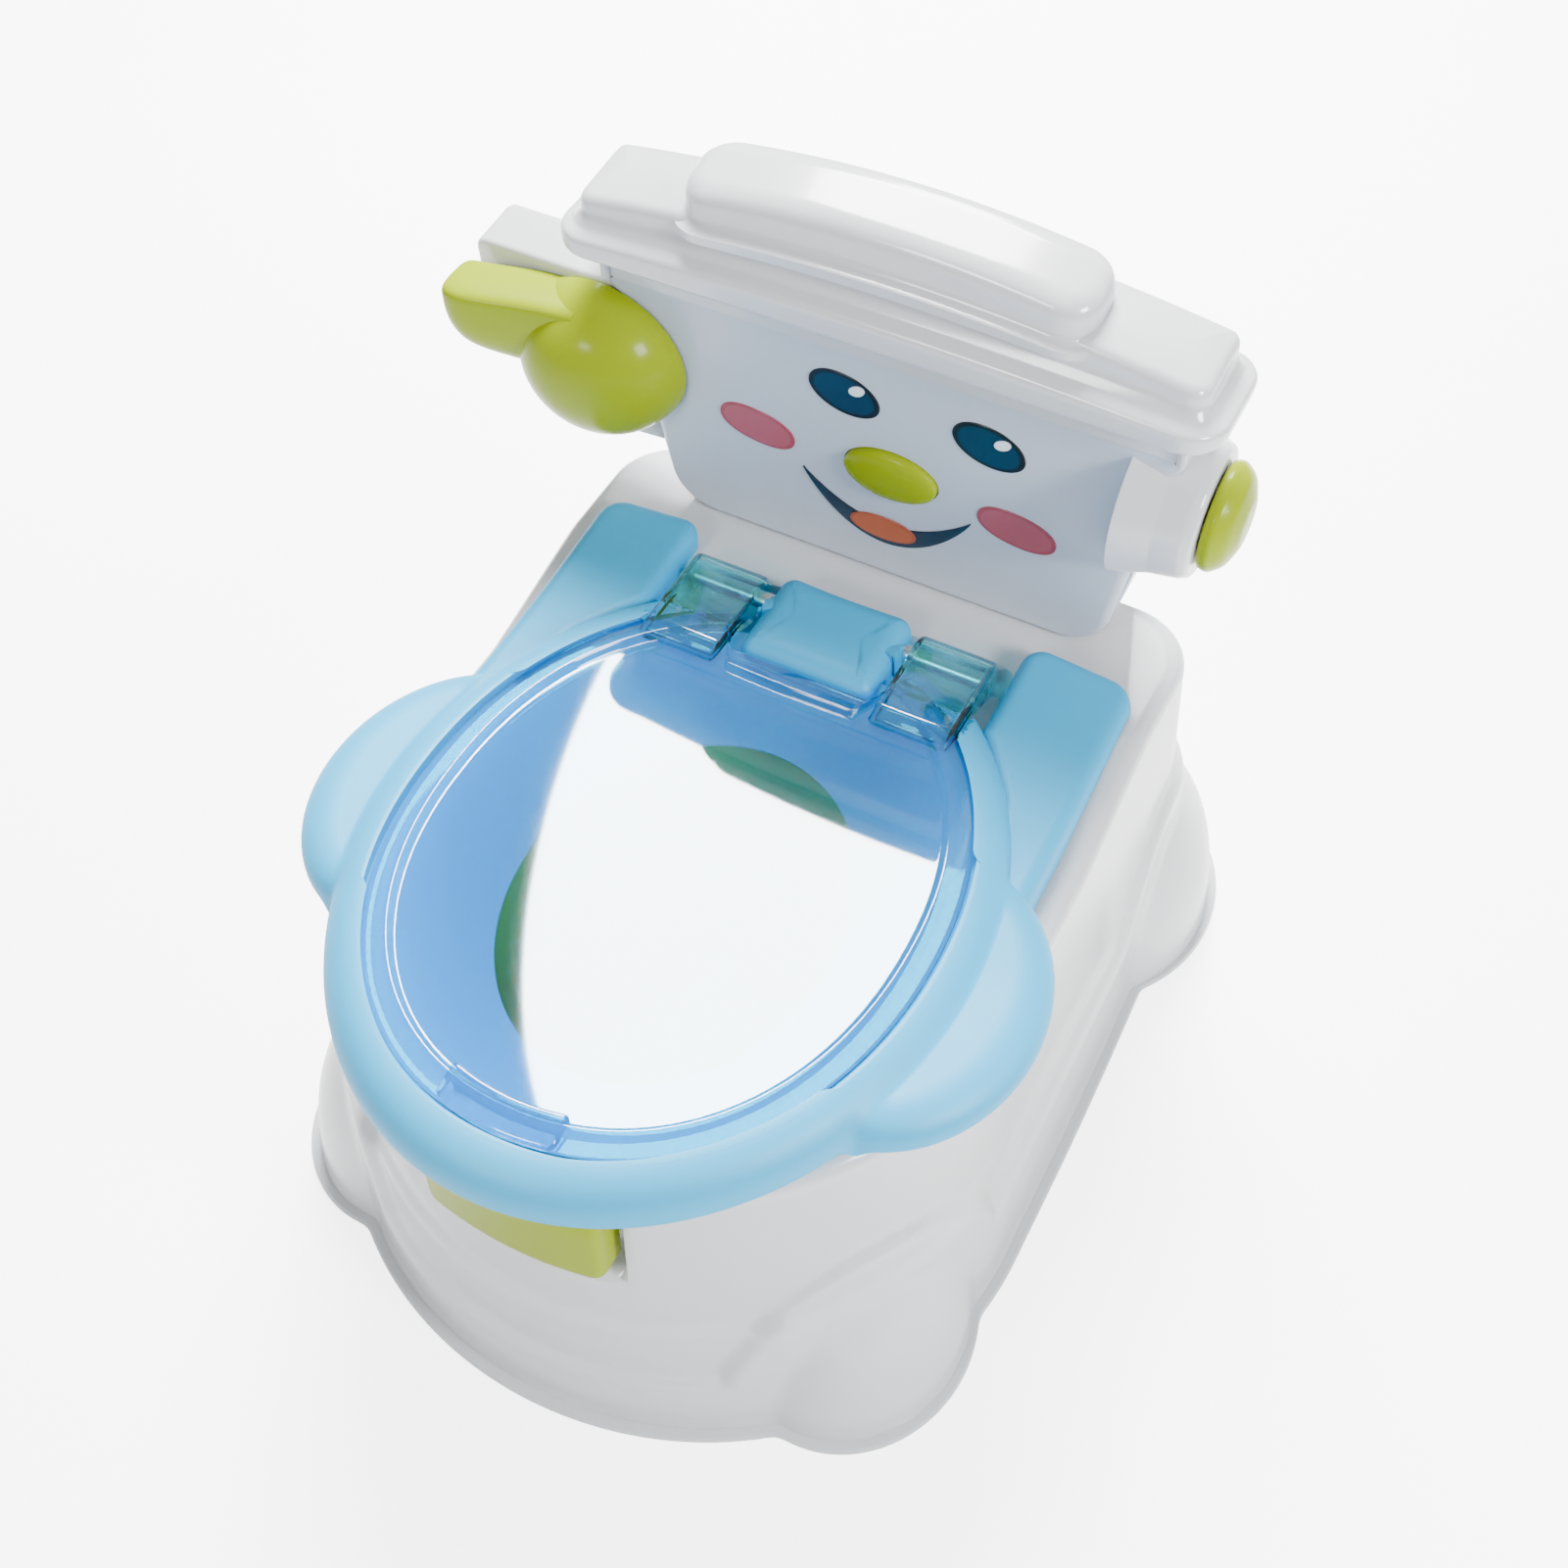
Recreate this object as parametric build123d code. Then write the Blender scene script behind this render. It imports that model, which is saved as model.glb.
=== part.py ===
from build123d import *
import os

# Potty training chair: a base with a lift-out pot, a lift-off seat with a hinged lid, and a
# toy cistern behind it with a flush lever, a button nose and a small sound unit.
# Millimetres. +Z is up and Z = 0 is the floor. The chair faces -Y and X = 0 is its middle plane.
# Each sub-part has its own function, and main() writes one STEP file for each.

FAR = 400.0             # reach of a cutting block or slab, well outside the chair

# Driving dimensions of the base
WALL = 2.6
SEAT_Y = -66.0          # centre of the oval seat, lid and pot
SHOULDER_Y = -60.0      # where the base's straight sides meet its rounded front
FOOT_HALF_W, FOOT_FRONT, FOOT_REAR, FOOT_CORNER = 135.0, -186.0, 166.0, 46.0
TOP_HALF_W, TOP_FRONT, TOP_REAR, TOP_CORNER = 124.0, -182.0, 130.0, 26.0
DECK_Z = 162.0          # deck under the seat ring
REAR_DECK_Z = 176.0     # deck behind the seat, under the cistern
RAMP_FRONT_Y, RAMP_REAR_Y = 6.0, 70.0
POCKET_HALF_W, POCKET_REAR_Y = 69.5, 74.0  # sunk part of the deck, round the lid's hinge
WELL_RX, WELL_RY = 92.0, 98.0
FLANGE_OUT, FLANGE_H = 4.0, 3.0

# Corner lobes: centre X, centre Y, half sizes X, Y, Z
FRONT_LOBE = (96.0, -112.0, 46.0, 53.0, 90.0)
REAR_LOBE = (101.0, 121.0, 53.5, 62.0, 94.0)
FOOT_R, FOOT_THICK, FOOT_CUP_Z = 13.0, 5.0, 100.0

# Recess in the front wall for the pot's handle
RECESS_HALF_W, RECESS_BACK_Y, RECESS_FLOOR_Z = 40.0, -168.0, 90.0

# Pot
POT_TOP_RX, POT_TOP_RY, POT_LOW_RX, POT_LOW_RY = 88.0, 94.0, 60.0, 66.0
POT_BOTTOM_Z, POT_WALL, POT_FLANGE = 56.0, 2.5, 8.0
HANDLE_HALF_W, HANDLE_FRONT_Y, HANDLE_LOW_Z = 35.5, -188.5, 108.0

# Seat
RING_RX, RING_RY, RING_TOP_Z = 114.0, 137.0, 188.5
SEAT_LOW_Z = DECK_Z + 0.4
SEAT_HOLE_RX, SEAT_HOLE_RY, SEAT_HOLE_Z = 60.0, 77.0, 156.0
SEAT_SKIN = 3.0
EAR_X, EAR_Y, EAR_RX, EAR_RY, EAR_TOP_Z = 92.0, -72.0, 48.0, 60.0, 182.0
RING_BEVEL_IN, RING_BEVEL_DOWN, EAR_ROUND = 5.0, 9.0, 9.0
PAD_FRONT_Y, PAD_CORNER, PAD_FALL_RAMP, PAD_FALL_FRONT = -40.0, 9.0, 7.0, 9.0
LID_SEAT_GAP = 0.8      # gap between the lid's edge and the ring round it
PAD_INNER_X, PAD_OUTER_X, PAD_REAR_Y, PAD_TOP_Z = 70.0, 115.0, 84.0, 187.0
HUMP_HALF_W, HUMP_FRONT_Y, HUMP_REAR_Y, HUMP_TOP_Z = 28.0, 31.0, 74.0, 191.0
HUMP_ROUND, HUMP_WALL = 7.0, 4.0

# Lid and its hinge
LID_RX, LID_RY = 99.2, 120.2
LID_LOW_Z, LID_SKIN, LID_TOP_Z = 183.6, 2.4, 189.0
LID_RIM = 10.0
TAB_HALF_W, TAB_DEPTH = 22.0, 13.0
HINGE_Y, HINGE_Z = 61.0, 181.0
BARREL_R, BARREL_IN_X, BARREL_OUT_X = 9.0, 32.0, 64.0
PIN_R, PIN_CLEAR = 3.5, 0.06

# Cistern
LEAN = 0.08             # forward lean of the face, in mm of Y for each mm of height
FACE_Y, FACE_Z = 100.0, REAR_DECK_Z
TANK_LOW_HALF_W, TANK_TOP_HALF_W, TANK_CORNER = 91.0, 112.5, 20.0
SEAM_Z = 287.0
TANK_REAR_LOW_Y, TANK_REAR_TOP_Y = 150.0, 116.0
PANEL_DEPTH = 11.0      # how far the front panel's sides run back
CAP_LIP_HALF_W, CAP_LIP_FRONT_Y, CAP_LIP_REAR_Y = 125.0, 73.5, 124.0
CAP_LIP_LOW_Z, CAP_LIP_TOP_Z = 303.0, 313.0
CAP_CROWN_HALF_W, CAP_END_Z, CAP_MID_Z = 118.0, 325.0, 336.0
CAP_RAISED_HALF_W, CAP_RAISED_Z = 77.0, 352.0
CAP_ARCH, CAP_CROWN_STEP, CAP_RAISED_ARCH = 6.0, 7.0, 8.0
CAP_LIP_CORNER, CAP_CROWN_CORNER, CAP_SKIRT_CORNER, CAP_RAISED_CORNER = 14.0, 12.0, 9.0, 8.0
PANEL_SCREW_PLACES = ((-80.0, 194.0), (80.0, 194.0), (-92.0, 274.0), (92.0, 274.0))
SCREW_SHANK_R, SCREW_HOLE_R, SCREW_HEAD_R = 1.5, 1.6, 3.0
SHELF_Z = 250.0

# Electronics in the cistern
BATTERY_X, BATTERY_HALF_W, BATTERY_LOW_Z, BATTERY_TOP_Z = -42.0, 27.0, 192.0, 219.0
DOOR_TOP_Z, DOOR_SCREW_Z = 230.0, 225.0
CASE_DEPTH, CELL_R, CELL_LEN = 15.0, 5.2, 44.5
SPEAKER_X, SPEAKER_Z = 52.0, 208.0
SPEAKER_XS = [SPEAKER_X + step for step in (-9, -4.5, 0, 4.5, 9)]

# Flush lever and its bracket
LEVER_X, LEVER_Z = -117.0, 248.0
HUB_R, HUB_H = 36.0, 30.0
ARM_END_X, ARM_LOW_Z, ARM_TOP_Z = -177.0, 248.0, 278.0
BRACKET_END_X, BRACKET_TOP_Z, BRACKET_DEPTH = -172.0, 282.0, 26.0
AXLE_R = 4.0

# Round boss and end disc on the other side
BOSS_Y, BOSS_Z, BOSS_R, BOSS_END_X = 107.0, 256.0, 26.0, 122.0
DISC_R, DISC_THICK, DISC_STEM_R = 20.5, 13.0, 5.0

# Face
NOSE_X, NOSE_Z, NOSE_RX, NOSE_RZ, NOSE_OUT, NOSE_TRAVEL = 4.0, 233.5, 19.0, 11.5, 5.0, 2.5
PRINT_THICK = 0.4
EYE_PLACES, EYE_RX, EYE_RZ = ((-15.0, 267.0), (42.0, 264.5)), 14.5, 9.5
CHEEK_PLACES, CHEEK_RX, CHEEK_RZ = ((-52.0, 235.0), (55.0, 227.0)), 16.0, 8.5
MOUTH_X, MOUTH_Z, MOUTH_HALF_W, MOUTH_SAG, MOUTH_DROP = 2.0, 222.0, 35.0, 17.0, 27.0


def face_y(z):
    """Y of the cistern's front face at height z."""
    return FACE_Y - LEAN * (z - FACE_Z)


def face_plane(x, z, out=0.0):
    """Plane on the cistern's face, its Z axis pointing out of the face and its X axis along +X."""
    normal = Vector(0, -1, -LEAN).normalized()
    origin = Vector(x, face_y(z), z) + normal * out
    return Plane(origin=origin, x_dir=(1, 0, 0), z_dir=normal)


def block(x0, x1, y0, y1, z0, z1):
    """Box from its lowest to its highest corner."""
    centre = Pos((x0 + x1) / 2, (y0 + y1) / 2, (z0 + z1) / 2)
    return centre * Box(x1 - x0, y1 - y0, z1 - z0)


def both_sides(shape):
    """The shape and its mirror image across the middle plane, as two separate solids."""
    return [shape, mirror(shape, Plane.YZ)]


def oval(rx, ry, z, cy=SEAT_Y):
    """Flat oval about the seat's centre at height z."""
    return Pos(0, cy, z) * Ellipse(rx, ry)


def oval_cup(top, low):
    """Solid between two ovals, each given as (rx, ry, z)."""
    return loft([oval(*low), oval(*top)], ruled=True)


def base_outline(half_w, front, rear, corner, z):
    """Rounded front, straight sides and rear corners of one radius, at height z."""
    nose = Ellipse(half_w, SHOULDER_Y - front)
    nose = (Pos(0, SHOULDER_Y) * nose) & (Pos(0, SHOULDER_Y - FAR / 2) * Rectangle(2 * FAR, FAR))
    rear_part = Pos(0, (SHOULDER_Y + rear) / 2) * Rectangle(2 * half_w, rear - SHOULDER_Y)
    rear_part = fillet(rear_part.vertices().group_by(Axis.Y)[-1], corner)
    return Pos(0, 0, z) * (nose + rear_part)


def lobe(size, inset):
    """One dome-shaped corner lobe above the floor, its surface inset by a wall thickness."""
    cx, cy, rx, ry, rz = size
    dome = scale(Sphere(1), by=(rx - inset, ry - inset, rz - inset))
    return Pos(cx, cy, 0) * dome & block(0, FAR, -FAR, FAR, 0, FAR)


def base_body(inset):
    """The base's outer solid, or with an inset the hollow inside it."""
    top_z = REAR_DECK_Z + 6
    body = loft([
        base_outline(FOOT_HALF_W - inset, FOOT_FRONT + inset, FOOT_REAR - inset, FOOT_CORNER, 0),
        base_outline(TOP_HALF_W - inset, TOP_FRONT + inset, TOP_REAR - inset, TOP_CORNER, top_z),
    ], ruled=True)
    for size in (FRONT_LOBE, REAR_LOBE):
        for dome in both_sides(lobe(size, inset)):
            body += dome
    above = Plane.YZ * make_face(Polyline(
        (-FAR, DECK_Z - inset), (RAMP_FRONT_Y, DECK_Z - inset),
        (RAMP_REAR_Y, REAR_DECK_Z - inset), (FAR, REAR_DECK_Z - inset),
        (FAR, FAR), (-FAR, FAR), close=True))
    return body - extrude(above, FAR, both=True)


def pocket(grow):
    """The sunk part of the deck round the lid's hinge, grown by a wall thickness."""
    return block(-POCKET_HALF_W - grow, POCKET_HALF_W + grow, RAMP_FRONT_Y - grow,
                 POCKET_REAR_Y + grow, DECK_Z - grow, FAR)


def handle_recess(grow):
    """The recess in the front wall behind the pot's handle, grown by a wall thickness."""
    return block(-RECESS_HALF_W - grow, RECESS_HALF_W + grow, -FAR, RECESS_BACK_Y + grow,
                 RECESS_FLOOR_Z - grow, FAR)


def base_shell():
    """White base: hollow below, with the pot well, hinge pocket and handle recess in its top."""
    hollow = base_body(WALL) - pocket(WALL) - handle_recess(WALL)
    shell = base_body(0) + ground_flange() - hollow - pocket(0) - handle_recess(0)
    shell -= oval_cup((WELL_RX, WELL_RY, FAR), (WELL_RX, WELL_RY, DECK_Z / 2))
    for cx, cy in foot_places():
        shell += foot_cup(cx, cy) & base_body(WALL / 2)
    return shell


def disc(r, z0, z1, cx=0.0, cy=0.0):
    """Upright cylinder between two heights."""
    return Pos(cx, cy, (z0 + z1) / 2) * Cylinder(r, z1 - z0)


def foot_cup(cx, cy):
    """Tube inside a lobe with a web that a rubber foot is pushed up against."""
    web_z = FOOT_THICK + WALL
    cup = disc(FOOT_R + WALL, 0, FOOT_CUP_Z, cx, cy)
    return cup - disc(FOOT_R, -1, FOOT_THICK, cx, cy) - disc(FOOT_R, web_z, FAR, cx, cy)


def ground_flange():
    """Flat plate of the base's footprint, a little larger all round."""
    grow = FLANGE_OUT
    plate = extrude(base_outline(FOOT_HALF_W + grow, FOOT_FRONT - grow, FOOT_REAR + grow,
                                 FOOT_CORNER + grow, 0), FLANGE_H)
    for cx, cy, rx, ry, _ in (FRONT_LOBE, REAR_LOBE):
        for side in (-1, 1):
            plate += Pos(side * cx, cy, 0) * extrude(Ellipse(rx + grow, ry + grow), FLANGE_H)
    return plate


def foot_places():
    """Centres of the four rubber feet, under the corner lobes."""
    return [(side * (size[0] + 8), size[1]) for size in (FRONT_LOBE, REAR_LOBE) for side in (-1, 1)]


def rubber_feet():
    """Four rubber discs flush with the base's rim."""
    return [disc(FOOT_R - 0.1, 0, FOOT_THICK, cx, cy) for cx, cy in foot_places()]


def pot():
    """Lime bowl with a flat flange and a hooked handle in front."""
    flange_z = DECK_Z + 0.3
    outer = oval_cup((POT_TOP_RX, POT_TOP_RY, flange_z), (POT_LOW_RX, POT_LOW_RY, POT_BOTTOM_Z))
    outer += oval_cup((POT_TOP_RX + POT_FLANGE, POT_TOP_RY + POT_FLANGE, flange_z + 2.5),
                      (POT_TOP_RX + POT_FLANGE, POT_TOP_RY + POT_FLANGE, flange_z))
    inner_low = POT_BOTTOM_Z + POT_WALL
    inner = oval_cup((POT_TOP_RX - POT_WALL, POT_TOP_RY - POT_WALL, flange_z + 3),
                     (POT_LOW_RX - POT_WALL, POT_LOW_RY - POT_WALL, inner_low))
    bridge = block(-HANDLE_HALF_W, HANDLE_HALF_W, HANDLE_FRONT_Y + 3, SEAT_Y - 80,
                   flange_z, flange_z + 2.5)
    bent = Plane.YZ * make_face(Polyline(
        (HANDLE_FRONT_Y + 4, flange_z + 2.5), (HANDLE_FRONT_Y, flange_z - 14),
        (HANDLE_FRONT_Y - 1, HANDLE_LOW_Z), (HANDLE_FRONT_Y + 3, HANDLE_LOW_Z),
        (HANDLE_FRONT_Y + 4, flange_z - 14), (HANDLE_FRONT_Y + 9, flange_z), close=True))
    grip = extrude(bent, HANDLE_HALF_W, both=True)
    for side in (-1, 1):
        x0, x1 = sorted((side * HANDLE_HALF_W, side * (HANDLE_HALF_W - 3)))
        grip += block(x0, x1, HANDLE_FRONT_Y + 1.5, HANDLE_FRONT_Y + 13, flange_z - 26, flange_z + 1)
    return outer + bridge + grip - inner


def seat_top():
    """Light-blue seat: ring with a funnel, ears, rear pads and hinge hump, hollow below."""
    bevel_z = RING_TOP_Z - RING_BEVEL_DOWN
    ring = oval_cup((RING_RX - RING_BEVEL_IN, RING_RY - RING_BEVEL_IN, RING_TOP_Z),
                    (RING_RX, RING_RY, bevel_z))
    ring += oval_cup((RING_RX, RING_RY, bevel_z), (RING_RX, RING_RY, SEAT_LOW_Z))
    ear = Pos(EAR_X, EAR_Y, 0) * extrude(Ellipse(EAR_RX, EAR_RY), EAR_TOP_Z)
    ear = fillet(ear.edges().group_by(Axis.Z)[-1], EAR_ROUND)
    for one in both_sides(ear - block(0, FAR, -FAR, FAR, -1, SEAT_LOW_Z)):
        ring += one
    wall = SEAT_SKIN + 1
    hollow = oval_cup((RING_RX - RING_BEVEL_IN - wall, RING_RY - RING_BEVEL_IN - wall, bevel_z + 2),
                      (RING_RX - wall, RING_RY - wall, SEAT_HOLE_Z))
    hollow_ear = Pos(EAR_X, EAR_Y, SEAT_HOLE_Z) * extrude(
        Ellipse(EAR_RX - SEAT_SKIN, EAR_RY - SEAT_SKIN), EAR_TOP_Z - wall - SEAT_HOLE_Z)
    for one in both_sides(hollow_ear):
        hollow += one
    funnel_skin = oval_cup((LID_RX - 2, LID_RY - 2, RING_TOP_Z),
                           (SEAT_HOLE_RX + SEAT_SKIN, SEAT_HOLE_RY + SEAT_SKIN, SEAT_HOLE_Z))
    seat = ring - (hollow - funnel_skin) + (funnel_skin & block(
        -FAR, FAR, -FAR, FAR, SEAT_HOLE_Z, LID_LOW_Z - 1))
    seat -= oval_cup((LID_RX - 2 * SEAT_SKIN, LID_RY - 2 * SEAT_SKIN, RING_TOP_Z + 1),
                     (SEAT_HOLE_RX, SEAT_HOLE_RY, SEAT_HOLE_Z - 0.5))
    seat -= lid_room(LID_LOW_Z - 0.5)
    for one in both_sides(seat_pad()):
        seat += one
    arm_room = block(HUMP_HALF_W + 0.6, PAD_INNER_X - 1, HINGE_Y - 21, FAR, SEAT_HOLE_Z, FAR)
    arm_room += block(HUMP_HALF_W + 0.6, BARREL_OUT_X + 1, 10, HINGE_Y, LID_LOW_Z - 0.5, FAR)
    for one in both_sides(arm_room) + both_sides(ramp_wedge()):
        seat -= one
    return seat + seat_hump() - x_rod(PIN_R, -HUMP_HALF_W - 1, HUMP_HALF_W + 1)


def lid_room(low_z):
    """The room above a height that the closed lid needs, with a gap round it."""
    rim = (LID_RX + LID_SEAT_GAP, LID_RY + LID_SEAT_GAP)
    return oval_cup((*rim, FAR), (*rim, low_z))


def ramp_wedge():
    """The space over one side of the base's ramp that the seat's underside must leave."""
    rise = REAR_DECK_Z - DECK_Z
    profile = Polyline((RAMP_FRONT_Y, 0), (RAMP_FRONT_Y, SEAT_LOW_Z),
                       (RAMP_REAR_Y, SEAT_LOW_Z + rise), (RAMP_REAR_Y, 0), close=True)
    return Pos(POCKET_HALF_W - 2, 0, 0) * extrude(Plane.YZ * make_face(profile), FAR)


def seat_pad():
    """One rear pad with its sloping underside just above the base's ramp, hollow below."""
    def profile(inset):
        low, high = SEAT_LOW_Z, PAD_TOP_Z - inset
        raised = low + REAR_DECK_Z - DECK_Z
        front, rear = PAD_FRONT_Y + inset, PAD_REAR_Y - inset
        return Polyline((front, low), (RAMP_FRONT_Y, low), (RAMP_REAR_Y, raised), (rear, raised),
                        (rear, high - 1), (RAMP_FRONT_Y, high - PAD_FALL_RAMP),
                        (front, high - PAD_FALL_FRONT), close=True)
    width = PAD_OUTER_X - PAD_INNER_X
    pad = Pos(PAD_INNER_X, 0, 0) * extrude(Plane.YZ * make_face(profile(0)), width)
    pad = fillet(pad.edges().filter_by(Axis.Z).group_by(Axis.Y)[-1], PAD_CORNER)
    pad -= Pos(PAD_INNER_X + SEAT_SKIN, 0, -SEAT_SKIN) * extrude(
        Plane.YZ * make_face(profile(SEAT_SKIN)), width - 2 * SEAT_SKIN)
    return pad - lid_room(0)


def seat_hump():
    """Pillow-shaped hump between the lid's arms, bored for the hinge pins."""
    hump = block(-HUMP_HALF_W, HUMP_HALF_W, HUMP_FRONT_Y, HUMP_REAR_Y, DECK_Z + 4, HUMP_TOP_Z)
    hump = fillet(hump.edges().filter_by(Axis.X).group_by(Axis.Z)[-1], HUMP_ROUND)
    return hump - block(-HUMP_HALF_W + HUMP_WALL, HUMP_HALF_W - HUMP_WALL, HUMP_FRONT_Y + HUMP_WALL,
                        HUMP_REAR_Y - HUMP_WALL, 0, DECK_Z + 10)


def x_rod(r, x0, x1, y=HINGE_Y, z=HINGE_Z):
    """Cylinder along X."""
    return Pos((x0 + x1) / 2, y, z) * Rot(0, 90, 0) * Cylinder(r, x1 - x0)


def hinge_pins():
    """Two steel pins pressed into the hump, one for each arm of the lid."""
    return both_sides(x_rod(PIN_R, HUMP_HALF_W - 14, BARREL_OUT_X - 3))


def lid():
    """Translucent oval lid: thin plate, raised rim, finger tab and two hollow hinge arms."""
    lid_shape = oval_cup((LID_RX - 1.5, LID_RY - 1.5, LID_TOP_Z), (LID_RX, LID_RY, LID_LOW_Z))
    lid_shape -= oval_cup((LID_RX - LID_RIM, LID_RY - LID_RIM, LID_TOP_Z + 1),
                          (LID_RX - LID_RIM - 2, LID_RY - LID_RIM - 2, LID_LOW_Z + LID_SKIN))
    front_y = SEAT_Y - LID_RY
    tab = block(-TAB_HALF_W, TAB_HALF_W, front_y, front_y + TAB_DEPTH, LID_LOW_Z, LID_TOP_Z + 1.5)
    lid_shape += tab & oval_cup((LID_RX - 0.5, LID_RY - 0.5, FAR), (LID_RX - 0.5, LID_RY - 0.5, 0))
    lid_shape -= block(-HUMP_HALF_W - 1, HUMP_HALF_W + 1, HUMP_FRONT_Y - 1.2, FAR, 0, FAR)
    barrel_top = HINGE_Z + BARREL_R
    arm = block(BARREL_IN_X, BARREL_OUT_X, 20, HINGE_Y, LID_LOW_Z, barrel_top)
    arm += x_rod(BARREL_R, BARREL_IN_X, BARREL_OUT_X)
    arm -= block(BARREL_IN_X + LID_SKIN, BARREL_OUT_X - LID_SKIN, 40, HINGE_Y + 5, 0,
                 barrel_top - LID_SKIN)
    arm -= x_rod(PIN_R + PIN_CLEAR, 0, FAR)
    for one in both_sides(arm):
        lid_shape += one
    return lid_shape


def tank_outline(inset, low_z, high_z, y):
    """Front view of the cistern between two heights, in the plane at Y = y."""
    flare = (TANK_TOP_HALF_W - TANK_LOW_HALF_W) / (SEAM_Z - FACE_Z)
    low_w = TANK_LOW_HALF_W + flare * (low_z - FACE_Z) - inset
    high_w = TANK_LOW_HALF_W + flare * (high_z - FACE_Z) - inset
    face = make_face(Polyline((-low_w, low_z), (low_w, low_z), (high_w, high_z),
                              (-high_w, high_z), close=True))
    face = fillet(face.vertices().group_by(Axis.Y)[0], TANK_CORNER - inset)
    return Plane(origin=(0, y, 0), x_dir=(1, 0, 0), z_dir=(0, -1, 0)) * face


def side_slab(y_shift_front, rear_low, rear_top, low_z, high_z):
    """Everything between the leaning face moved back and a sloping rear plane."""
    profile = Polyline((face_y(low_z) + y_shift_front, low_z), (rear_low, low_z),
                       (rear_top, high_z), (face_y(high_z) + y_shift_front, high_z), close=True)
    return extrude(Plane.YZ * make_face(profile), FAR, both=True)


def tank_solid(inset, low_z, high_z, front_shift, rear_inset):
    """The cistern's solid between two heights, inset for its hollow."""
    whole = extrude(tank_outline(inset, low_z, high_z, 0), -FAR)
    run = (TANK_REAR_TOP_Y - TANK_REAR_LOW_Y) / (SEAM_Z - REAR_DECK_Z)
    low = TANK_REAR_LOW_Y + run * (low_z - REAR_DECK_Z) - rear_inset
    high = TANK_REAR_LOW_Y + run * (high_z - REAR_DECK_Z) - rear_inset
    return whole & side_slab(front_shift, low, high, low_z, high_z)


def tank_front():
    """Face panel with short returned sides, a foot tongue and holes for nose and lever axle."""
    panel = tank_solid(0, FACE_Z, SEAM_Z - 0.3, 0, 0) & side_slab(
        0, FACE_Y + PANEL_DEPTH, face_y(SEAM_Z) + PANEL_DEPTH, FACE_Z, SEAM_Z)
    panel -= tank_solid(WALL, FACE_Z + WALL, SEAM_Z + 1, WALL, -60)
    panel += block(-40, 40, FACE_Y - 3, FACE_Y + 2, FACE_Z, FACE_Z + 1.6)
    return panel - face_plane(NOSE_X, NOSE_Z, -8) * extrude(Ellipse(NOSE_RX + 0.4, NOSE_RZ + 0.4), 16)


def tank_back():
    """Rear shell of the cistern with its battery bay and speaker holes."""
    back = tank_solid(0, FACE_Z, SEAM_Z - 0.3, PANEL_DEPTH + 0.2, 0)
    back -= tank_solid(WALL, FACE_Z + WALL, SEAM_Z + 1, -10, WALL)
    back -= battery_opening(0.3)
    for x in SPEAKER_XS:
        back -= Pos(x, TANK_REAR_LOW_Y, SPEAKER_Z) * Rot(90, 0, 0) * Cylinder(1.6, 60)
    back -= x_rod(DISC_STEM_R + 3, 80, BOSS_END_X, BOSS_Y, BOSS_Z)
    for x, z in PANEL_SCREW_PLACES:
        back -= rear_plane(x, z, -10) * extrude(Circle(SCREW_HOLE_R), 14)
    return back


def battery_opening(gap):
    """Window in the sloping rear wall that the battery door fills."""
    return block(BATTERY_X - BATTERY_HALF_W - gap, BATTERY_X + BATTERY_HALF_W + gap,
                 TANK_REAR_TOP_Y - 6, FAR, BATTERY_LOW_Z - gap, DOOR_TOP_Z + gap)


def battery_door():
    """Cover of the battery bay, lying in the rear wall."""
    skin = tank_solid(0, FACE_Z, SEAM_Z - 1, 0, 0) - tank_solid(0, FACE_Z - 1, SEAM_Z, -10, WALL)
    door = skin & battery_opening(-0.1)
    return door - rear_plane(BATTERY_X, DOOR_SCREW_Z, -6) * extrude(Circle(SCREW_HOLE_R), 12)


def rear_y(z):
    """Y of the cistern's rear face at height z."""
    run = (TANK_REAR_TOP_Y - TANK_REAR_LOW_Y) / (SEAM_Z - REAR_DECK_Z)
    return TANK_REAR_LOW_Y + run * (z - REAR_DECK_Z)


def rear_plane(x, z, out=0.0):
    """Plane on the cistern's sloping rear face, its Z axis pointing out of the face."""
    run = (TANK_REAR_LOW_Y - TANK_REAR_TOP_Y) / (SEAM_Z - REAR_DECK_Z)
    normal = Vector(0, 1, run).normalized()
    return Plane(origin=Vector(x, rear_y(z), z) + normal * out, x_dir=(-1, 0, 0), z_dir=normal)


def door_screw():
    """Captive screw at the top of the battery door."""
    place = rear_plane(BATTERY_X, DOOR_SCREW_Z)
    screw = place * extrude(Circle(SCREW_HEAD_R), 1.6)
    screw += place.offset(-9) * extrude(Circle(SCREW_SHANK_R), 9.2)
    return screw - place.offset(0.9) * extrude(Rectangle(4.4, 0.9), 2)


def battery_case():
    """Open tray that holds two cells, screwed inside the rear shell."""
    y1 = rear_y(BATTERY_TOP_Z) - WALL - 0.6
    x0, x1 = BATTERY_X - BATTERY_HALF_W, BATTERY_X + BATTERY_HALF_W
    case = block(x0, x1, y1 - CASE_DEPTH, y1, BATTERY_LOW_Z, BATTERY_TOP_Z)
    return case - block(x0 + 1.6, x1 - 1.6, y1 - CASE_DEPTH + 1.6, y1 + 9,
                        BATTERY_LOW_Z + 1.6, BATTERY_TOP_Z - 1.6)


def cell_places():
    """Centre heights and Y of the two cells."""
    y = rear_y(BATTERY_TOP_Z) - WALL - 0.6 - CASE_DEPTH + 1.8 + CELL_R
    return [(y, BATTERY_LOW_Z + 1.9 + CELL_R), (y, BATTERY_TOP_Z - 1.9 - CELL_R)]


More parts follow.
